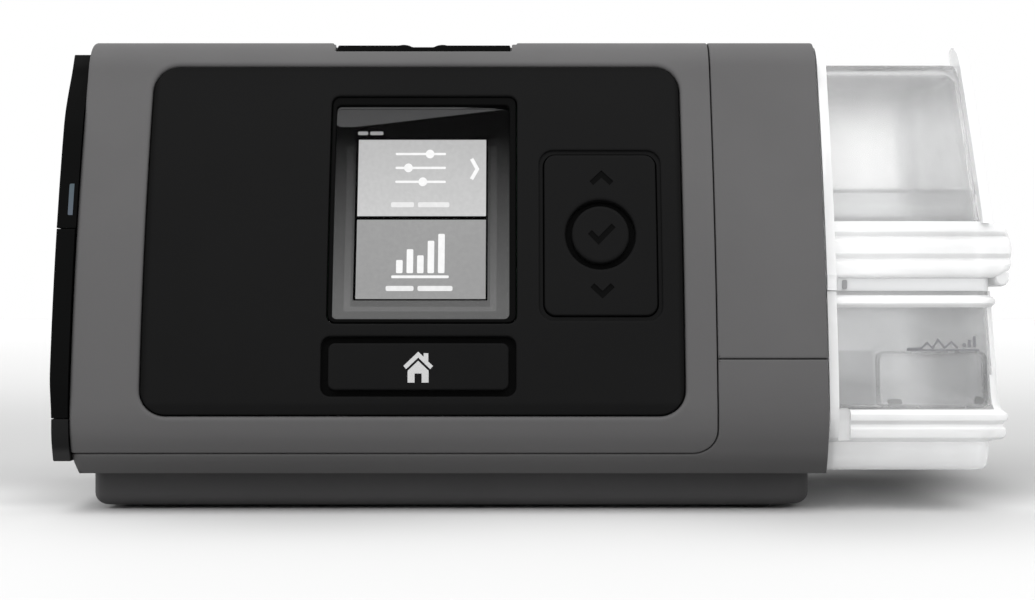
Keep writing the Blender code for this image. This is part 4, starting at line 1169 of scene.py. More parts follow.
def arrow_keys():
    shape = Shape()
    outer = fitted(rrect(2.2, 31.0, 49.3, 90.9, 2.9, 8), 49.3, 90.9)
    bore = cut_at(seen(ring(16.6, 70.1, 9.0, 56)), flow_rows(49.3, 90.9), 1)
    up = seen(stroke([(14.4, 83.4), (17.0, 85.8), (19.6, 83.4)], 1.4))
    down = seen(stroke([(14.4, 56.9), (17.0, 54.5), (19.6, 56.9)], 1.4))
    panel(
        shape, on_profile, outer, [bore], [(up, 0.22, 0.08, 1), (down, 0.22, 0.08, 1)], d0=0.2,
        r=0.4, hole_r=0.7, thick=2.8, segs=4,
        grid=lattice(spread(4, 29, 4.0), P.rows(P.front(51), P.front(89), 4.0, 2.5)), hold=0.4,
    )
    obj = shape.object("arrow_keys", [KEY, KEY_MARK])
    place(obj, "nav_rocker", "nav_rocker")

    shape = Shape()
    outer = cut_at(seen(ring(16.6, 70.1, 7.4, 56)), flow_rows(60, 80), 1)
    tick = seen(stroke([(13.9, 70.6), (16.1, 68.3), (20.0, 72.3)], 1.4))
    panel(
        shape, on_profile, outer, (), [(tick, 0.2, 0.08, 1)], d0=0.1, r=0.8, thick=2.2, segs=4,
        grid=lattice(spread(10, 23, 3.0), [P.front(z) for z in (64, 67, 70, 73, 76)]), hold=0.3,
    )
    obj = shape.object("round_key", [KEY, KEY_MARK])
    place(obj, "ok_button", "ok_button")

    # Step round the arrow keys, let into the fascia
    shape = Shape()
    panel(
        shape, on_profile, fitted(rrect(0.7, 32.5, 47.8, 92.4, 3.8, 8), 47.8, 92.4),
        [fitted(rrect(1.85, 31.35, 48.95, 91.25, 3.2, 8), 48.95, 91.25)], d0=0.95, r=0.1, thick=2.4, hold=0.12,
    )
    place(shape.object("arrow_key_step", [FASCIA]), "housing")

    # Dark wells behind the keys
    for name, box, z0, z1 in (
        ("arrow_key_well", (0.4, 32.8, 47.5, 92.7), 47.5, 92.7),
        ("home_key_well", (-55.1, -4.5, 28.3, 44.5), 28.3, 44.5),
    ):
        shape = Shape()
        panel(
            shape, on_profile, fitted(rrect(*box, 3.0, 6), z0, z1), d0=3.35, r=0.0, thick=3.7, hold=0.3,
            grid=lattice(spread(box[0] + 3, box[1] - 3, 8.0), flow_rows(z0 + 2, z1 - 2)),
        )
        place(shape.object(name, [GROOVE]), "housing")


def start_key():
    shape = Shape()
    x0, x1, mid = -52.6, -6.6, -29.9

    def dip(x):
        d = abs(x - mid)
        if d < 3.9:
            t = min(1.0, max(0.0, (3.9 - d) / 1.2))
            return -0.62 * t * t * (3 - 2 * t)
        if d < 6.4:
            return 0.24 * math.sin(PI * (d - 3.9) / 2.5)
        return 0.0

    def section(x, drop, pull):
        ys = [-42.6 + pull, -42.55 + pull, -42.4 + pull, -42.1 + pull, -41.4, -40.4, -39.4, -38.4]
        ys += [-37.2, -36.0, -34.6, -32.5, -29.0, -26.0, -24.5 - pull, -24.15 - pull, -24.0 - pull]
        falls = [0.55, 0.32, 0.12, 0.02] + [0.0] * 10 + [0.03, 0.15, 0.4]
        ring_ = [(x, ys[0], 113.0)]
        for y, fall in zip(ys, falls):
            z = min(P.at(P.over(y))[1] - 0.45, 121.1)
            w = min(1.0, max(0.0, (y + 41.0) / 3.5))
            ring_.append((x, y, z - fall - drop + dip(x) * w))
        ring_.append((x, ys[-1], 113.0))
        return ring_

    rings = []
    for k in range(4):
        t = PI / 2 * k / 3
        rings.append(section(x0 + 0.4 * (1 - math.cos(t)), 0.4 * (1 - math.sin(t)), 0.2 * (1 - math.sin(t))))
    for x in sorted(spread(-50.0, -38.0, 4.0) + spread(-37.0, -23.0, 0.5) + spread(-21.0, -9.0, 4.0)):
        rings.append(section(x, 0.0, 0.0))
    for k in range(3, -1, -1):
        t = PI / 2 * k / 3
        rings.append(section(x1 - 0.4 * (1 - math.cos(t)), 0.4 * (1 - math.sin(t)), 0.2 * (1 - math.sin(t))))
    skin(shape, rings)
    obj = shape.object("start_key", [START_KEY], 50)
    place(obj, "start_button", "start_button")


LCD_LOW, LCD_HIGH = 52.0, 103.0


def deep_point(z, depth):
    y, s, ny, nz = P.at(P.front(z))
    return y - ny * depth, s - nz * depth


LCD_A, LCD_B = deep_point(LCD_LOW, 4.2), deep_point(LCD_HIGH, 4.2)


def on_lcd(u, z, d):
    """The flat face of the display; z is the height, d the depth behind the face."""
    (ya, za), (yb, zb) = LCD_A, LCD_B
    length = math.hypot(yb - ya, zb - za)
    ty, tz = (yb - ya) / length, (zb - za) / length
    y = ya + (z - za) * (yb - ya) / (zb - za)
    return (u, y + tz * d, z - ty * d)


def screen():
    shape = Shape()
    hole = fitted(rrect(-52.1, -6.8, 48.5, 104.6, 1.3, 5), 48.5, 104.6)
    outer = fitted(rrect(-53.1, -5.1, 47.5, 106.6, 2.0, 6), 47.5, 106.6)
    panel(shape, on_profile, outer, [hole], d0=0.7, r=0.3, hole_r=0.35, thick=3.4, hold=0.12)
    obj = shape.object("screen_surround", [BEZEL])
    place(obj, "housing", "screen_bezel")

    shape = Shape()
    panel(
        shape, on_profile, fitted(rrect(-51.9, -7.0, 48.7, 104.4, 1.1, 5), 48.7, 104.4), d0=1.5, r=0.25,
        thick=2.8, grid=lattice(spread(-48, -10, 6.0), flow_rows(51, 102)), hold=0.3,
    )
    obj = shape.object("screen_window", [WINDOW])
    place(obj, "housing", "screen_lens")

    # Display: backing, lit fields and plain pictograms
    shape = Shape()
    L, R, LO, HI = -52.9, -6.0, 47.4, 105.9
    chip(shape, on_lcd, rrect(L, R, LO, HI, 1.0, 4), 0.3, 2.6, 0)
    left, right = -47.0, -12.4
    # Painted reflection: the border and its inner stripes glow grey, fading from the bottom up.
    chip(shape, on_lcd, [(L, LO), (left, LO), (left, 94.6), (-50.0, 97.5), (L, 99.0)], 0.2, 0.3, 1)
    chip(shape, on_lcd, [(right, LO), (R, LO), (R, 99.0), (-9.0, 97.5), (right, 94.6)], 0.2, 0.3, 1)
    chip(shape, on_lcd, [(left, LO), (right, LO), (right, 53.0), (left, 53.0)], 0.2, 0.3, 1)
    chip(shape, on_lcd, rrect(-49.3, -47.6, 50.9, 93.5, 0.4, 3), 0.15, 0.2, 2)
    chip(shape, on_lcd, rrect(-11.7, -10.1, 50.9, 93.5, 0.4, 3), 0.15, 0.2, 2)
    chip(shape, on_lcd, rrect(-49.3, -10.1, 50.2, 51.4, 0.4, 3), 0.15, 0.2, 2)
    # Painted reflection: a glowing grey wedge across the top of the display.
    glare_outline = [(L, HI), (L, 99.6), (-51.2, 98.6), (-47.6, 98.6), (-38.0, 99.7), (-26.0, 101.2), (R, 103.6), (R, HI)]
    chip(shape, on_lcd, glare_outline, 0.1, 0.2, 3)
    chip(shape, on_lcd, rrect(-46.6, -43.9, 96.4, 97.3, 0.4, 3), 0.02, 0.1, 8)
    chip(shape, on_lcd, rrect(-43.4, -39.9, 96.4, 97.3, 0.4, 3), 0.02, 0.1, 8)
    tile_l, tile_r = -46.3, -12.9
    chip(shape, on_lcd, rrect(tile_l, tile_r, 74.9, 95.1), 0.05, 0.2, 4)
    chip(shape, on_lcd, rrect(tile_l, tile_r, 53.4, 73.9), 0.05, 0.2, 5)
    # Three slide controls
    for k, (z, knob) in enumerate(((91.3, -27.6), (87.6, -33.2), (83.9, -29.4))):
        chip(shape, on_lcd, rrect(-36.6, -23.4, z - 0.3, z + 0.3, 0.28, 3), 0.0, 0.05, 6)
        chip(shape, on_lcd, ring(knob, z, 1.15, 20), -0.04, 0.05, 6)
    chip(shape, on_lcd, stroke([(-16.7, 90.0), (-15.2, 87.3), (-16.7, 84.6)], 0.95), 0.0, 0.05, 6)
    chip(shape, on_lcd, rrect(-37.6, -31.6, 77.2, 78.5, 0.4, 3), 0.0, 0.05, 7)
    chip(shape, on_lcd, rrect(-30.6, -22.4, 77.2, 78.5, 0.4, 3), 0.0, 0.05, 7)
    # A chart of five bars over a line
    for k, high in enumerate((3.4, 6.2, 4.6, 8.4, 10.2)):
        x = -36.0 + 2.7 * k
        chip(shape, on_lcd, rrect(x, x + 1.7, 60.0, 60.0 + high, 0.3, 3), 0.0, 0.05, 6)
    chip(shape, on_lcd, rrect(-37.2, -22.4, 58.7, 59.4, 0.25, 3), 0.0, 0.05, 6)
    chip(shape, on_lcd, rrect(-38.6, -31.4, 55.4, 56.7, 0.4, 3), 0.0, 0.05, 7)
    chip(shape, on_lcd, rrect(-30.4, -21.4, 55.4, 56.7, 0.4, 3), 0.0, 0.05, 7)
    obj = shape.object("display_face", [DARK_GLASS, EDGE_PAINTED_REFLECTION, STRIPE_PAINTED_REFLECTION, PAINTED_GLARE, TILE_A, TILE_B, LIT_MARK, LIT_WORD, LIT_TITLE])
    place(obj, "housing", "lcd_module")


def status_light():
    shape = Shape()
    outline = [(y, z) for y, z in follow(74.8, 83.3, -0.75, 4)] + [(-53.0, 83.3), (-53.0, 74.8)]
    panel(
        shape, lambda u, s, d: (-120.45 + d, u, s), soft(outline, 0.6), r=0.4, thick=1.35, hold=0.4, segs=3,
    )
    obj = shape.object("status_light", [STATUS])
    place(obj, "housing", "led_light_guide")


# ------------------------------------------------------------ rear fittings


def rear_pieces():
    # Hose outlet
    shape = Shape()
    profile = [(9.0, -34.4), (10.9, -34.4), (11.0, -34.2), (11.0, -27.8), (13.6, -27.6), (14.0, -27.3)]
    profile += [(14.0, -25.2), (13.7, -24.9), (11.6, -24.8), (11.25, -24.3), (11.0, -13.5), (10.95, -13.2)]
    profile = [(r, h + 88.0) for r, h in profile]
    profile += [(10.85, 74.3), (10.6, 74.8), (10.3, 75.0), (9.35, 75.0), (9.05, 74.8), (9.0, 74.4), (9.0, 60.0)]
    lathe(shape, profile, (58.0, 0.0, 88.0), "y", 64)
    obj = shape.object("hose_outlet", [SHELL], 40)
    place(obj, "housing", "air_outlet")
    shape = Shape()
    lathe(shape, [(11.7, 66.15), (13.4, 66.15), (13.6, 66.35), (13.6, 66.7), (12.2, 67.6), (11.7, 67.6)], (58.0, 0.0, 88.0), "y", 64)
    obj = shape.object("outlet_collar", [BASE], 40)
    place(obj, "housing")

    # Filter cover with its slots
    shape = Shape()
    at = lambda u, s, d: (u, BACK_Y - d, s)
    holes = [rrect(-95.0, -65.0, 28.0 + 3.6 * k, 29.8 + 3.6 * k, 0.88, 4) for k in range(7)]
    pull = rrect(-74.0, -66.0, 24.2, 25.6, 0.6, 4)
    panel(
        shape, at, rrect(-101.0, -59.0, 22.0, 56.0, 1.4, 5), holes, [(pull, 0.7, 0.15, 0)], r=0.45,
        hole_r=0.25, thick=2.4, hold=0.3,
    )
    for x0, x1, z0, z1 in ((-101, -98.8, 22.6, 55.4), (-61.2, -59.0, 22.6, 55.4)):
        chip(shape, at, rrect(x0 + 0.3, x1 - 0.3, z0, z1), 2.4, 4.7)
    obj = shape.object("filter_door", [SHELL])
    place(obj, "filter_cover", "filter_cover")

    # Power inlet
    shape = Shape()
    at = lambda u, s, d: (u, BACK_Y - 0.2 - d, s)
    panel(
        shape, at, rrect(-38.0, -22.0, 25.0, 39.0, 1.6, 5), [rrect(-34.5, -25.5, 28.2, 35.8, 1.2, 5)],
        r=0.5, hole_r=0.5, thick=9.6, hold=0.4,
    )
    chip(shape, at, rrect(-37.6, -22.4, 25.4, 38.6, 1.2, 4), 9.6, 15.6)
    pin = Shape()
    lathe(pin, [(0.01, 56.2), (1.2, 56.2), (1.2, 63.2), (0.9, 63.7), (0.01, 63.8)], (-30.0, 0.0, 32.0), "y", 24)
    shape.add(pin.verts, pin.faces, 1)
    obj = shape.object("power_inlet", [INNER, STEEL])
    place(obj, "housing", "power_socket")

    # Clip that holds the plug
    shape = Shape()
    at = lambda u, s, d: (u, 69.2 - d, s)
    panel(
        shape, at, rrect(-40.0, -20.0, 43.2, 62.0, (0.6, 0.6, 3.0, 3.0), 6), [rrect(-36.0, -24.0, 47.0, 57.5, 1.6, 5)],
        r=0.55, thick=2.6, hold=0.4,
    )
    for k in range(3):
        chip(shape, at, rrect(-34.0, -26.0, 58.7 + 0.9 * k, 59.1 + 0.9 * k, 0.18, 3), -0.0, 0.3)
    pin = Shape()
    lathe(pin, [(0.01, -42.4), (0.85, -42.4), (1.0, -42.2), (1.0, -17.8), (0.85, -17.6), (0.01, -17.6)], (0.0, 67.8, 44.2), "x", 20)
    shape.add(pin.verts, pin.faces, 0)
    obj = shape.object("plug_clip", [INNER])
    place(obj, "retention_clip", "retention_clip")


def feet():
    spots = [(-98.0, -46.0), (56.0, -46.0), (-98.0, 48.0), (56.0, 48.0)]
    for i, (x, y) in enumerate(spots, 1):
        shape = Shape()
        profile = [(0.01, 0.5), (6.1, 0.5), (6.1, -0.4), (6.0, -0.75), (5.7, -1.0), (4.9, -1.0), (4.75, -0.8)]
        profile += [(4.45, -0.8), (4.3, -1.0), (2.9, -1.0), (2.75, -0.8), (2.45, -0.8), (2.3, -1.0), (0.01, -1.0)]
        lathe(shape, profile, (x, y, 0.0), "z", 40)
        place(shape.object(f"rubber_foot_{i}", [RUBBER]), "housing", f"foot_{i}")


# ------------------------------------------------------------------ tub bay


def polar(loop, centre, n):
    """A loop's points at even angles about a centre."""
    cy, cz = centre
    out = []
    for k in range(n):
        t = 2 * PI * (k + 0.5) / n
        dx, dz = math.cos(t), math.sin(t)
        best = None
        for (a0, b0), (a1, b1) in zip(loop, loop[1:] + loop[:1]):
            ex, ez = a1 - a0, b1 - b0
            det = dx * ez - dz * ex
            if abs(det) < 1e-9:
                continue
            px, pz = a0 - cy, b0 - cz
            r = (px * ez - pz * ex) / det
            q = (px * dz - pz * dx) / det
            if r > 0 and -1e-6 <= q <= 1 + 1e-6 and (best is None or r < best):
                best = r
        out.append((cy + dx * best, cz + dz * best))
    return out


def bay():
    n, centre = 200, (3.6, 63.0)
    outer = polar(rrect(-43.8, 51.0, 15.0, 112.2, 4.0, 8), centre, n)
    inner = polar(rrect(-42.2, 49.4, 16.6, 110.6, 3.0, 8), centre, n)
    wide = polar(rrect(-43.2, 50.4, 15.6, 111.6, 3.6, 8), centre, n)
    side = []
    for s in P.rows(P.front(16.5), P.rear(16.5), 4.0, 4.0):
        y, z, ny, nz = P.at(s)
        side.append((y - ny * 2.55, z - nz * 2.55))
    lip = polar(side, centre, n)
    rim = polar([(y * 0.997, (z - 63.0) * 0.997 + 63.0) for y, z in side], centre, n)
    rings = [(17.0, outer), (71.4, outer), (71.4, lip), (72.9, lip), (73.2, rim), (73.2, wide), (72.9, inner), (18.6, inner)]
    base = Shape()
    skin(base, [[(x, y, z) for y, z in loop] for x, loop in rings])
    obj = solid_of(base, "bay_moulding")
    tools = []

    def tool(shape, operation="DIFFERENCE"):
        tools.append((operation, solid_of(shape, "tool")))

    cutter = Shape()
    skin(cutter, [[(x, y, z) for y, z in rrect(-25.3, 31.3, 10.0, 22.0)] for x in (27.7, 58.3)])
    tool(cutter)
    for spot, axis, lo, hi, r in (((27.5, 70.0), "x", 10.0, 22.0, 6.4), ((58.0, 88.0), "y", 46.0, 56.0, 9.4)):
        cutter = Shape()
        loop = ring(*spot, r, 40)
        if axis == "x":
            skin(cutter, [[(x, y, z) for y, z in loop] for x in (lo, hi)])
        else:
            skin(cutter, [[(x, y, z) for x, z in loop] for y in (lo, hi)])
        tool(cutter)
    carve(obj, tools)
    finish(obj, [LINER], 38)
    obj.name = "tub_bay_liner"
    place(obj, "housing", "bay_liner")
    # Raised ring round the air port
    shape = Shape()
    lathe(shape, [(6.6, 18.5), (9.4, 18.5), (9.4, 19.0), (9.1, 19.2), (6.9, 19.2), (6.6, 19.0)], (0.0, 27.5, 70.0), "x", 48)
    obj = shape.object("port_ring", [SILICONE])
    place(obj, "housing")


def finish(obj, looks, angle=38.0, pick=None):
    """Gives a carved piece its looks; pick(x, y, z) chooses one for each face."""
    mesh = obj.data
    mesh.materials.clear()
    for look in looks:
        mesh.materials.append(look)
    if pick:
        for face in mesh.polygons:
            x, y, z = face.center
            face.material_index = pick(x / MM, y / MM, z / MM - LIFT)
    mesh.shade_smooth()
    mesh.set_sharp_from_angle(angle=math.radians(angle))
    return obj


# ---------------------------------------------------------------- water tub

TUB_BACK = 62.0
TUB_ROOT = 74.5


def tub_front(z):
    return (front_y(z) if z >= 26.0 else P.at(P.front(z))[0]) + 6.0


def plan(z, off, end, r=4.5, root=TUB_ROOT, back=TUB_BACK, n=9):
    """Outline of the tub at a height: square towards the machine, round at its outer corners."""
    y0, y1 = tub_front(z) - off, back + off
    out = [(root, y1), (root, (y0 + y1) / 2), (root, y0)]
    out += [(root + (end - r - root) * k / 4, y0) for k in (1, 2, 3)]
    for k in range(n + 1):
        t = PI / 2 * k / n
        out.append((end - r + r * math.sin(t), y0 + r - r * math.cos(t)))
    out.append((end, (y0 + y1) / 2))
    for k in range(n + 1):
        t = PI / 2 * k / n
        out.append((end - r + r * math.cos(t), y1 - r + r * math.sin(t)))
    out += [(root + (end - r - root) * k / 4, y1) for k in (3, 2, 1)]
    return [(x, y, z) for x, y in out]


def lid_end(z):
    return 117.6 - 0.068 * (z - 71.0)


def tongue_solid(x0, y0, y1, z0, z1, r=4.0, low=0.0, high=0.0, x1=76.0):
    shape = Shape()
    levels = []
    if low:
        levels += [(low * (1 - math.sin(t)), z0 + low * (1 - math.cos(t))) for t in np.linspace(0.15, PI / 2, 5)]
    else:
        levels.append((0.0, z0))
    if high:
        levels += [(high * (1 - math.cos(t)), z1 - high * (1 - math.sin(t))) for t in np.linspace(0, PI / 2 * 0.92, 5)]
    else:
        levels.append((0.0, z1))
    rings = [
        [(x, y, z) for x, y in rrect(x0 + i, x1, y0 + i, y1 - i, (r, 0, 0, r), 8)] for i, z in levels
    ]
    skin(shape, rings)
    return shape


def section_plate(x_of, outline, thick):
    """A plate whose faces stand across X, with the outline in (y, z)."""
    shape = Shape()
    skin(shape, [[(x_of(z) - t, y, z) for y, z in outline] for t in (thick, 0.0)])
    return shape


def shell_section(low, inset):
    """The shell's side outline above a height, moved inwards."""
    out = []
    for s in P.rows(P.front(low), P.rear(low), 3.0, 5.0):
        y, z, ny, nz = P.at(s)
        out.append((y - ny * inset, z - nz * inset))
    return out


def lid_look(x, y, z):
    """The ridges, the collar and the outer end of the lid are moulded a little milkier; their milky white also stands
    in for the bright highlights on the rims, a painted highlight.
    """
    if x < 73.0:
        return 0
    if x < 77.0 or x > lid_end(z) - 2.4:
        return 1
    return int(z < 73.6 and (y < tub_front(z) + 0.6 or y > 60))


def base_look(x, y, z):
    if x < 73.0:
        return 0
    return int(x < 77.0 or z < 25.4 or 51.4 < z < 54.3 or x > 116.3)


def tub_lid():
    levels = [  # offset, height, end
        (0.1, 58.8, 118.4), (0.9, 58.95, 119.3), (1.7, 59.5, 120.4), (2.15, 60.2, 121.4), (2.3, 61.2, 122.2),
        (2.3, 62.4, 122.7), (1.9, 63.0, 122.75), (1.2, 63.6, 122.75), (1.2, 63.95, 122.8), (1.9, 64.5, 122.85),
        (2.4, 65.1, 122.9), (2.5, 66.6, 123.0), (2.4, 68.1, 122.9), (1.9, 68.8, 122.8), (1.2, 69.3, 122.75),
        (1.2, 69.65, 122.7), (1.9, 70.2, 122.4), (2.35, 70.8, 122.0), (2.35, 71.9, 121.2), (2.0, 72.5, 120.4),
        (1.3, 72.85, 119.4), (0.9, 73.5, lid_end(73.5) + 0.9), (0.65, 74.8, lid_end(74.8) + 0.5),
        (0.6, 78.0, lid_end(78.0) + 0.4), (0.6, 80.6, lid_end(80.6) + 0.4), (0.45, 81.3, lid_end(81.3) + 0.3),
        (0.1, 81.8, lid_end(81.8) + 0.1), (0.0, 82.6, lid_end(82.6)),
    ]
    levels += [(0.0, z, lid_end(z)) for z in (90.0, 96.0, 101.0, 106.0, 110.0, 112.5)]
    levels += [(-0.12, 113.8, lid_end(113.8) - 0.1), (-0.5, 114.9, lid_end(115) - 0.4), (-1.1, 115.6, lid_end(115) - 1.0), (-1.9, 115.8, lid_end(115) - 1.8)]
    body = Shape()
    skin(body, [plan(z, off, end, 4.5 if z > 73 else 2.4) for off, z, end in levels])
    obj = solid_of(body, "lid_moulding")
    steps = []

    def union(shape):
        steps.append(("UNION", solid_of(shape, "tool")))

    def less(shape):
        steps.append(("DIFFERENCE", solid_of(shape, "tool")))

    union(tongue_solid(19.3, -41.5, 48.7, 58.8, 109.4, 4.0, 0.0, 3.0))
    union(section_plate(lambda z: 76.9, shell_section(58.8, 1.2), 2.35))
    patch = Shape()
    skin(patch, [[(x, y, z) for x, y in ((74.55, tub_front(57.0) - 4.7), (76.9, tub_front(57.0) - 4.7), (76.9, tub_front(57.0) - 0.5), (74.55, tub_front(57.0) - 0.5))] for z in (55.6, 59.6)])
    union(patch)
    crest = [p for p in shell_section(73.4, 1.3) if p[0] < -31.5]
    crest += [(-30.6, crest[-1][1] - 0.3), (-29.8, crest[-1][1] - 1.2), (-29.5, 112.0), (-29.5, 73.4)]
    union(section_plate(lambda z: lid_end(z) - 0.02, crest, 2.2))
    grip = [(118.2, 60.6), (118.3, 57.8), (118.9, 56.9), (120.0, 56.6), (121.1, 57.0), (121.8, 57.9), (122.0, 59.0), (121.9, 60.0), (121.0, 61.0)]
    hook = Shape()
    mid = (120.0, 59.0)
    skin(hook, [
        [(mid[0] + (x - mid[0]) * k, y, mid[1] + (z - mid[1]) * k) for x, z in grip]
        for k, y in ((0.75, tub_front(59.0) - 1.2), (0.93, tub_front(59.0) - 0.8), (1.0, tub_front(59.0)), (1.0, 50.0))
    ])
    union(hook)
    cavity = [(-1.8, 50.0, 116.0), (-1.8, 72.0, 115.6)]
    cavity += [(-1.8, z, lid_end(z) - 2.2) for z in (74.0, 84.0, 94.0, 102.0, 108.0, 111.0)]
    cavity += [(-2.1, 112.4, lid_end(113) - 2.5), (-2.8, 113.4, lid_end(113) - 3.2), (-4.0, 113.8, lid_end(113) - 4.4)]
    hollow = Shape()
    skin(hollow, [plan(z, off, end, 3.2, 77.0) for off, z, end in cavity])
    less(hollow)
    less(tongue_solid(21.1, -39.7, 46.9, 50.0, 107.4, 3.0, 0.0, 2.0, 90.0))
    for spot, axis, lo, hi, r in (((27.5, 70.0), "x", 10.0, 24.0, 6.2), ((58.0, 88.0), "y", 43.0, 56.0, 9.0)):
        cutter = Shape()
        loop = ring(*spot, r, 40)
        if axis == "x":
            skin(cutter, [[(x, y, z) for y, z in loop] for x in (lo, hi)])
        else:
            skin(cutter, [[(x, y, z) for x, z in loop] for y in (lo, hi)])
        less(cutter)
    carve(obj, steps)
    finish(obj, [TUB_LID, TUB_RIDGE], 32, lid_look)
    obj.name = "water_tub_lid"
    place(obj, "tub", "tub_lid")


def wall_end(z):
    """The outer end of the tub's base leans in a little as it rises."""
    return 118.75 - 0.038 * (z - 27.0)


def tub_base():
    levels = [
        (-2.4, 9.3, 114.4), (-1.3, 9.45, 115.5), (-0.75, 9.85, 116.1), (-0.5, 10.6, 116.4), (-0.45, 13.0, 116.5),
        (-0.5, 15.4, 116.5), (-0.75, 16.1, 116.3), (-0.75, 16.8, 116.4), (0.2, 17.1, 117.6), (1.3, 17.5, 119.4),
        (1.85, 18.1, 120.2), (1.95, 19.3, 120.5), (1.85, 20.3, 120.3), (1.3, 20.9, 119.8), (1.2, 21.4, 119.7),
        (1.6, 21.9, 120.1), (2.1, 22.5, 120.7), (2.15, 23.3, 120.8), (2.0, 24.0, 120.6), (1.3, 24.6, 120.0),
        (0.6, 25.2, 119.3), (0.2, 26.3, wall_end(26) + 0.2), (0.0, 28.0, wall_end(28)),
    ]
    levels += [(0.0, z, wall_end(z)) for z in (34.0, 40.0, 45.0, 49.0)]
    levels += [
        (0.05, 51.2, wall_end(51) + 0.05), (0.7, 51.6, 118.0), (1.5, 51.9, 118.3), (1.85, 52.3, 118.5), (1.9, 52.9, 118.6),
        (1.8, 53.4, 118.5), (1.4, 53.75, 118.3), (0.5, 53.95, 117.9), (0.05, 54.3, 117.7), (0.0, 55.4, 117.7),
    ]
    body = Shape()
    skin(body, [plan(z, off, end, 4.0 if z < 17 else 5.0) for off, z, end in levels])
    obj = solid_of(body, "base_moulding")
    steps = []

    def union(shape):
        steps.append(("UNION", solid_of(shape, "tool")))

    def less(shape):
        steps.append(("DIFFERENCE", solid_of(shape, "tool")))

    union(tongue_solid(19.3, -41.5, 48.7, 17.3, 55.4, 4.0, 2.0, 0.0))
    front = [(tub_front(z) - (3.6 if z > 19 else 2.0), z) for z in spread(18.4, 55.4, 4.0)]
    union(section_plate(lambda z: 76.9, front + [(64.0, 55.4), (64.0, 18.4)], 2.35))
    chamber = Shape()
    rings = [plan(25.0, -4.2, wall_end(25) - 4.2, 3.0, 77.0), plan(25.3, -2.8, wall_end(25) - 2.8, 3.2, 77.0)]
    rings += [plan(26.2, -1.9, wall_end(26) - 1.9, 3.4, 77.0)]
    rings += [plan(z, -1.8, wall_end(z) - 1.8, 3.4, 77.0) for z in (28.0, 36.0, 44.0, 52.0, 60.0)]
    skin(chamber, rings)
    less(chamber)
    less(tongue_solid(21.1, -39.7, 46.9, 25.0, 62.0, 3.0, 0.0, 0.0, 90.0))
    less(tongue_solid(21.1, -39.7, 46.9, 19.3, 62.0, 3.0, 1.5, 0.0, 73.0))
    under = Shape()
    skin(under, [plan(z, -2.3, end - 2.2, 2.6, 76.4, TUB_BACK - 1.0) for z, end in ((9.4, 116.4), (14.0, 116.4), (19.0, 116.6), (22.4, 116.6))])
    lower = Shape()
    skin(lower, [[(x, y, z) for x, y in rrect(76.4, 114.0, -62.0, 58.5, 2.5, 5)] for z in (5.0, 10.0)])
    less(under)
    less(lower)
    plate_hole = Shape()
    skin(plate_hole, [[(x, y, z) for x, y in rrect(26.7, 59.3, -26.3, 32.3, 2.0, 4)] for z in (10.0, 22.0)])
    less(plate_hole)
    # Raised frame of the sight window in the front wall
    sight = Shape()
    loop = rrect(87.4, 114.2, 26.6, 39.4, 3.0, 6)
    skin(sight, [[(x, tub_front(z) + 0.7, z) for x, z in loop], [(x, tub_front(z) - 3.0, z) for x, z in loop]])
    less(sight)
    notch = Shape()
    skin(notch, [[(x, y, z) for x, z in rrect(76.95, 80.0, 7.0, 25.6, 0.9, 4)] for y in (-80.0, tub_front(18.0) - 0.55)])
    less(notch)
    carve(obj, steps)
    finish(obj, [TUB_BASE, TUB_RIDGE], 32, base_look)
    obj.name = "water_tub_base"
    place(obj, "tub", "tub_base")


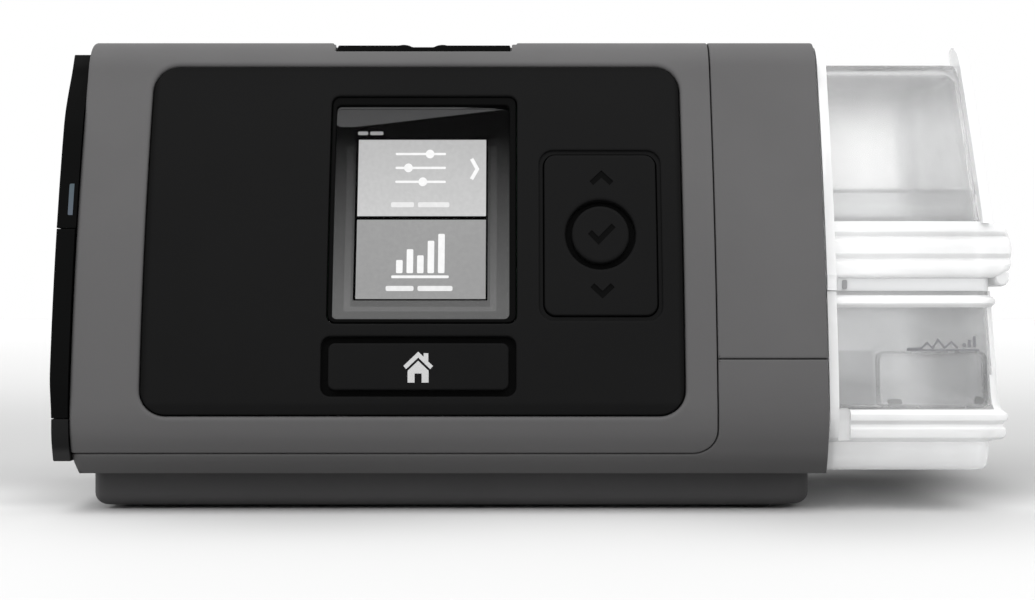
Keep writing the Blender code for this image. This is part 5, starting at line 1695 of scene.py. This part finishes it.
def tub_pieces():
    # Seal between base and lid
    shape = Shape()
    front = tub_front(57.0) - 0.3
    outer = [(19.8, -41.0), (75.0, -41.0), (75.0, front + 0.5), (117.0, front + 0.5)]
    outer += [(117.0, TUB_BACK - 0.5), (75.0, TUB_BACK - 0.5), (75.0, 48.2), (19.8, 48.2)]
    inner = [(22.0, -38.8), (77.2, -38.8), (77.2, front + 2.7), (114.8, front + 2.7)]
    inner += [(114.8, TUB_BACK - 2.7), (77.2, TUB_BACK - 2.7), (77.2, 46.0), (22.0, 46.0)]
    panel(
        shape, lambda u, s, d: (u, s, 58.76 - d), soft(outer, 3.0), [soft(inner, 2.2)], r=0.15, thick=3.32,
        hole_r=0.4, hold=0.1,
    )
    chip(shape, lambda u, s, d: (u, front + 0.55 - d, s), rrect(78.9, 80.2, 55.9, 58.3, 0.4, 3), 0.0, 0.3, 1)
    obj = shape.object("tub_gasket", [SEAL, SEAL_MARK])
    place(obj, "tub", "tub_seal")

    # Sight frame and pins behind the front wall
    shape = Shape()
    behind = lambda u, z, d: (u, tub_front(z) + 1.9 + d, z)
    panel(
        shape, behind, rrect(87.2, 115.4, 25.1, 39.9, 2.0, 6), [rrect(88.1, 114.6, 25.9, 39.4, 1.6, 6)],
        r=0.1, thick=1.6, hold=0.08,
    )
    chip(shape, behind, rrect(90.2, 93.7, 26.1, 27.7, 0.75, 5), 0.3, 2.6, 1)
    chip(shape, behind, rrect(112.3, 114.5, 26.0, 28.3, 1.0, 5), 0.3, 2.6, 1)
    obj = shape.object("tub_inner_frame", [TUB_SHADE, TUB_PIN])
    place(obj, "tub")

    shape = Shape()
    panel(
        shape, lambda u, s, d: (u, s, 18.9 - d), rrect(27.0, 59.0, -26.0, 32.0, 2.0, 5), (),
        [(rrect(31.0, 55.0, -22.0, 28.0, 3.0, 5), 0.35, 0.3, 0)], r=0.4, thick=1.7, hold=0.3,
    )
    obj = shape.object("tub_metal_floor", [STEEL])
    place(obj, "tub", "tub_heat_plate")

    shape = Shape()
    panel(
        shape, lambda u, s, d: (122.8 - d, u, s), rrect(-22.0, 30.0, 47.0, 60.6, 2.0, 6), r=0.5, thick=1.5, hold=0.3,
        grid=lattice(spread(-18, 26, 8.0), spread(50, 58, 4.0)),
    )
    chip(shape, lambda u, s, d: (u, -21.0 + 50.0 * d, s), [(119.7, 47.1), (121.6, 47.1), (121.6, 49.3), (120.4, 49.3)], 0.0, 1.0)
    for k in range(4):
        y = -14.0 + 10.0 * k
        chip(shape, lambda u, s, d: (122.78 + 0.15 * d, u, s), rrect(y, y + 6.0, 51.0, 51.9, 0.4, 3), 0.0, 1.0)
    obj = shape.object("tub_end_latch", [TUB_LID])
    place(obj, "tub", "tub_latch")

    # Printed level line with a small wave
    shape = Shape()
    at = lambda u, z, d: (u, tub_front(z) - 0.02 + d, z)
    wave = [(95.0, 40.6), (98.6, 40.7), (100.2, 42.1), (101.6, 40.8), (103.0, 42.9), (104.6, 40.9), (106.4, 42.3), (108.0, 40.8)]
    chip(shape, at, stroke(wave, 0.5), 0.0, 0.12)
    chip(shape, at, rrect(95.0, 113.4, 40.1, 40.5), 0.0, 0.12)
    for k, high in enumerate((1.0, 1.9, 2.8)):
        chip(shape, at, rrect(109.3 + 1.3 * k, 110.1 + 1.3 * k, 41.0, 41.0 + high, 0.1, 2), 0.0, 0.12)
    obj = shape.object("tub_level_line", [WATERLINE])
    place(obj, "tub")


home_key()
arrow_keys()
start_key()
screen()
status_light()
rear_pieces()
feet()
bay()
tub_lid()
tub_base()
tub_pieces()


# ------------------------------------------------------------- other nodes

INNER_LOOKS = {
    "side_black": SIDE, "rail_grey": RAIL, "button_black": KEY, "shell_grey": SHELL,
    "bezel_black": BEZEL, "rubber": RUBBER, "silicone": SILICONE, "inner_plastic": INNER,
    "steel": STEEL, "alloy": ALLOY, "base_grey": BASE, "fascia_black": FASCIA,
    "screen_glass": WINDOW, "display": DARK_GLASS, "light_guide": STATUS, "circuit_board": BOARD,
    "clear_plastic": CLEAR, "filter_foam": FOAM, "card_blue": CARD, "ribbon": FILM,
}
slots = {p["node"]: p["material_slot"] for p in frame["record"]["subparts"]}
for name, obj in frame["nodes"].items():
    look = INNER_LOOKS.get(slots.get(name))
    if look is not None:
        obj.data.materials.clear()
        obj.data.materials.append(look)


# ------------------------------------------------------------ stage, camera


def studio():
    mat, nodes, links, shader = tree_of("stage_paper_painted_light_and_shade")
    tone = noise(nodes, links, 3.0, 2.0)
    paper = mix_colour(nodes, links, tone, (0.51, 0.51, 0.51), (0.525, 0.525, 0.525))
    coord = add(nodes, "ShaderNodeTexCoord")
    parts = add(nodes, "ShaderNodeSeparateXYZ")
    links.new(coord.outputs["Object"], parts.inputs[0])

    def sum_of(operation, a, b=None, c=None):
        made = add(nodes, "ShaderNodeMath", operation=operation)
        for socket, value in enumerate((a, b, c)):
            if isinstance(value, (int, float)):
                made.inputs[socket].default_value = value
            elif value is not None:
                links.new(value, made.inputs[socket])
        return made.outputs[0]

    # Painted shadow on the paper: it is darker behind the machine, and most of all close behind the tub
    start = add(nodes, "ShaderNodeMapRange", {"From Min": -0.06, "From Max": 0.1}, interpolation_type="SMOOTHSTEP")
    links.new(parts.outputs["Y"], start.inputs["Value"])
    away = sum_of("MULTIPLY", sum_of("SUBTRACT", parts.outputs["Y"], 0.25), 2.0)
    fall = sum_of("DIVIDE", 1.0, sum_of("MULTIPLY_ADD", away, away, 1.0))
    deep = sum_of("MULTIPLY", sum_of("MULTIPLY", start.outputs["Result"], fall), 0.3)
    dx = sum_of("DIVIDE", sum_of("SUBTRACT", parts.outputs["X"], 0.06), 0.15)
    dy = sum_of("DIVIDE", sum_of("SUBTRACT", parts.outputs["Y"], 0.1), 0.13)
    square = sum_of("MULTIPLY_ADD", dx, dx, sum_of("MULTIPLY", dy, dy))
    painted_shadow_near = sum_of("MULTIPLY", sum_of("EXPONENT", sum_of("MULTIPLY", square, -1.0)), 0.25)
    def spot(x, y, rx, ry, change):
        """A soft patch of painted shadow where change is below zero, of painted light where it is above: one plus a
        share that fades with distance.
        """
        ux = sum_of("DIVIDE", sum_of("SUBTRACT", parts.outputs["X"], x), rx)
        uy = sum_of("DIVIDE", sum_of("SUBTRACT", parts.outputs["Y"], y), ry)
        square = sum_of("MULTIPLY_ADD", ux, ux, sum_of("MULTIPLY", uy, uy))
        return sum_of("MULTIPLY_ADD", sum_of("EXPONENT", sum_of("MULTIPLY", square, -1.0)), change, 1.0)

    # Painted light: far behind the machine the paper is painted up to 7% lighter.
    painted_far_light = add(nodes, "ShaderNodeMapRange", {"From Min": 0.5, "From Max": 3.5, "To Min": 1.0, "To Max": 1.07}, interpolation_type="SMOOTHSTEP")
    links.new(parts.outputs["Y"], painted_far_light.inputs["Value"])
    keep = sum_of("MULTIPLY", sum_of("SUBTRACT", 1.0, deep), sum_of("SUBTRACT", 1.0, painted_shadow_near))
    # Soft patches of painted shadow under and behind the tub and in front of the machine, and of painted light under
    # the tub's front, along the plinth's front and by the left side.
    for patch in (
        (0.092, 0.06, 0.024, 0.04, -0.8), (0.115, 0.085, 0.021, 0.11, -0.74), (0.075, -0.033, 0.055, 0.026, 0.5),
        (-0.01, -0.056, 0.13, 0.015, 0.5), (0.08, -0.09, 0.04, 0.062, -0.2), (-0.06, -0.087, 0.045, 0.046, -0.15),
        (-0.157, -0.015, 0.022, 0.039, 0.25),
    ):
        keep = sum_of("MULTIPLY", keep, spot(*patch))
    keep = sum_of("MULTIPLY", keep, painted_far_light.outputs["Result"])
    scaled = add(nodes, "ShaderNodeVectorMath", operation="SCALE")
    links.new(paper, scaled.inputs[0])
    links.new(keep, scaled.inputs["Scale"])
    links.new(scaled.outputs[0], shader.inputs["Base Color"])
    shader.inputs["Roughness"].default_value = 0.7
    shader.inputs["Specular IOR Level"].default_value = 0.1
    mesh = bpy.data.meshes.new("stage_floor")
    size = 6.0
    mesh.from_pydata([(-size, -size, 0), (size, -size, 0), (size, size, 0), (-size, size, 0)], [], [(0, 1, 2, 3)])
    floor = bpy.data.objects.new("stage_floor", mesh)
    scene.collection.objects.link(floor)
    mesh.materials.append(mat)

    world = bpy.data.worlds.new("studio")
    scene.world = world
    world.use_nodes = True
    nodes, links = world.node_tree.nodes, world.node_tree.links
    back = nodes["Background"]
    back.inputs["Color"].default_value = (1, 1, 1, 1)
    way = add(nodes, "ShaderNodeTexCoord")
    parts = add(nodes, "ShaderNodeSeparateXYZ")
    links.new(way.outputs["Generated"], parts.inputs[0])
    high = add(nodes, "ShaderNodeMath", {1: 2.35, 2: 0.35}, operation="MULTIPLY_ADD")
    links.new(parts.outputs["Z"], high.inputs[0])
    fore = add(nodes, "ShaderNodeMath", {1: -0.6}, operation="MULTIPLY_ADD")
    links.new(parts.outputs["Y"], fore.inputs[0])
    links.new(high.outputs[0], fore.inputs[2])
    least = add(nodes, "ShaderNodeMath", {1: 0.1}, operation="MAXIMUM")
    links.new(fore.outputs[0], least.inputs[0])
    links.new(least.outputs[0], back.inputs["Strength"])
    plain = add(nodes, "ShaderNodeBackground", {"Color": (1, 1, 1, 1), "Strength": 1.0})
    path = add(nodes, "ShaderNodeLightPath")
    under = add(nodes, "ShaderNodeMath", operation="MINIMUM")
    links.new(path.outputs["Diffuse Depth"], under.inputs[0])
    links.new(path.outputs["Is Transmission Ray"], under.inputs[1])
    dim = add(nodes, "ShaderNodeMath", {1: -0.85, 2: 1.0}, operation="MULTIPLY_ADD")
    links.new(under.outputs[0], dim.inputs[0])
    links.new(dim.outputs[0], plain.inputs["Strength"])
    blend = add(nodes, "ShaderNodeMixShader")
    either = add(nodes, "ShaderNodeMath", operation="MAXIMUM")
    links.new(path.outputs["Is Camera Ray"], either.inputs[0])
    links.new(path.outputs["Is Transmission Ray"], either.inputs[1])
    any_of = add(nodes, "ShaderNodeMath", operation="MAXIMUM")
    links.new(path.outputs["Is Glossy Ray"], any_of.inputs[0])
    links.new(either.outputs[0], any_of.inputs[1])
    links.new(any_of.outputs[0], blend.inputs[0])
    links.new(back.outputs[0], blend.inputs[1])
    links.new(plain.outputs[0], blend.inputs[2])
    links.new(blend.outputs[0], nodes["World Output"].inputs["Surface"])

    def lamp(name, at, target, size, power):
        data = bpy.data.lights.new(name, "AREA")
        data.shape = "RECTANGLE"
        data.size, data.size_y = size
        data.energy = power
        obj = bpy.data.objects.new(name, data)
        scene.collection.objects.link(obj)
        obj.location = at
        obj.rotation_euler = (Vector(target) - Vector(at)).to_track_quat("-Z", "Y").to_euler()

    lamp("lamp_top", (0.0, -0.05, 0.9), (0, 0, 0), (1.0, 0.7), 0.6)
    lamp("lamp_front", (-0.3, -1.2, 0.7), (0, 0, 0.05), (0.8, 0.6), 0.3)

    cam = bpy.data.cameras.new("camera")
    cam.lens, cam.sensor_width = 86.33, 36.0
    cam.clip_start, cam.clip_end = 0.02, 50.0
    obj = bpy.data.objects.new("camera", cam)
    scene.collection.objects.link(obj)
    obj.location = (-0.0047, -0.7015, 0.0541)
    obj.rotation_euler = (PI / 2, 0, 0)
    scene.camera = obj
    scene.view_settings.view_transform = "Standard"
    scene.view_settings.look = "None"


studio()
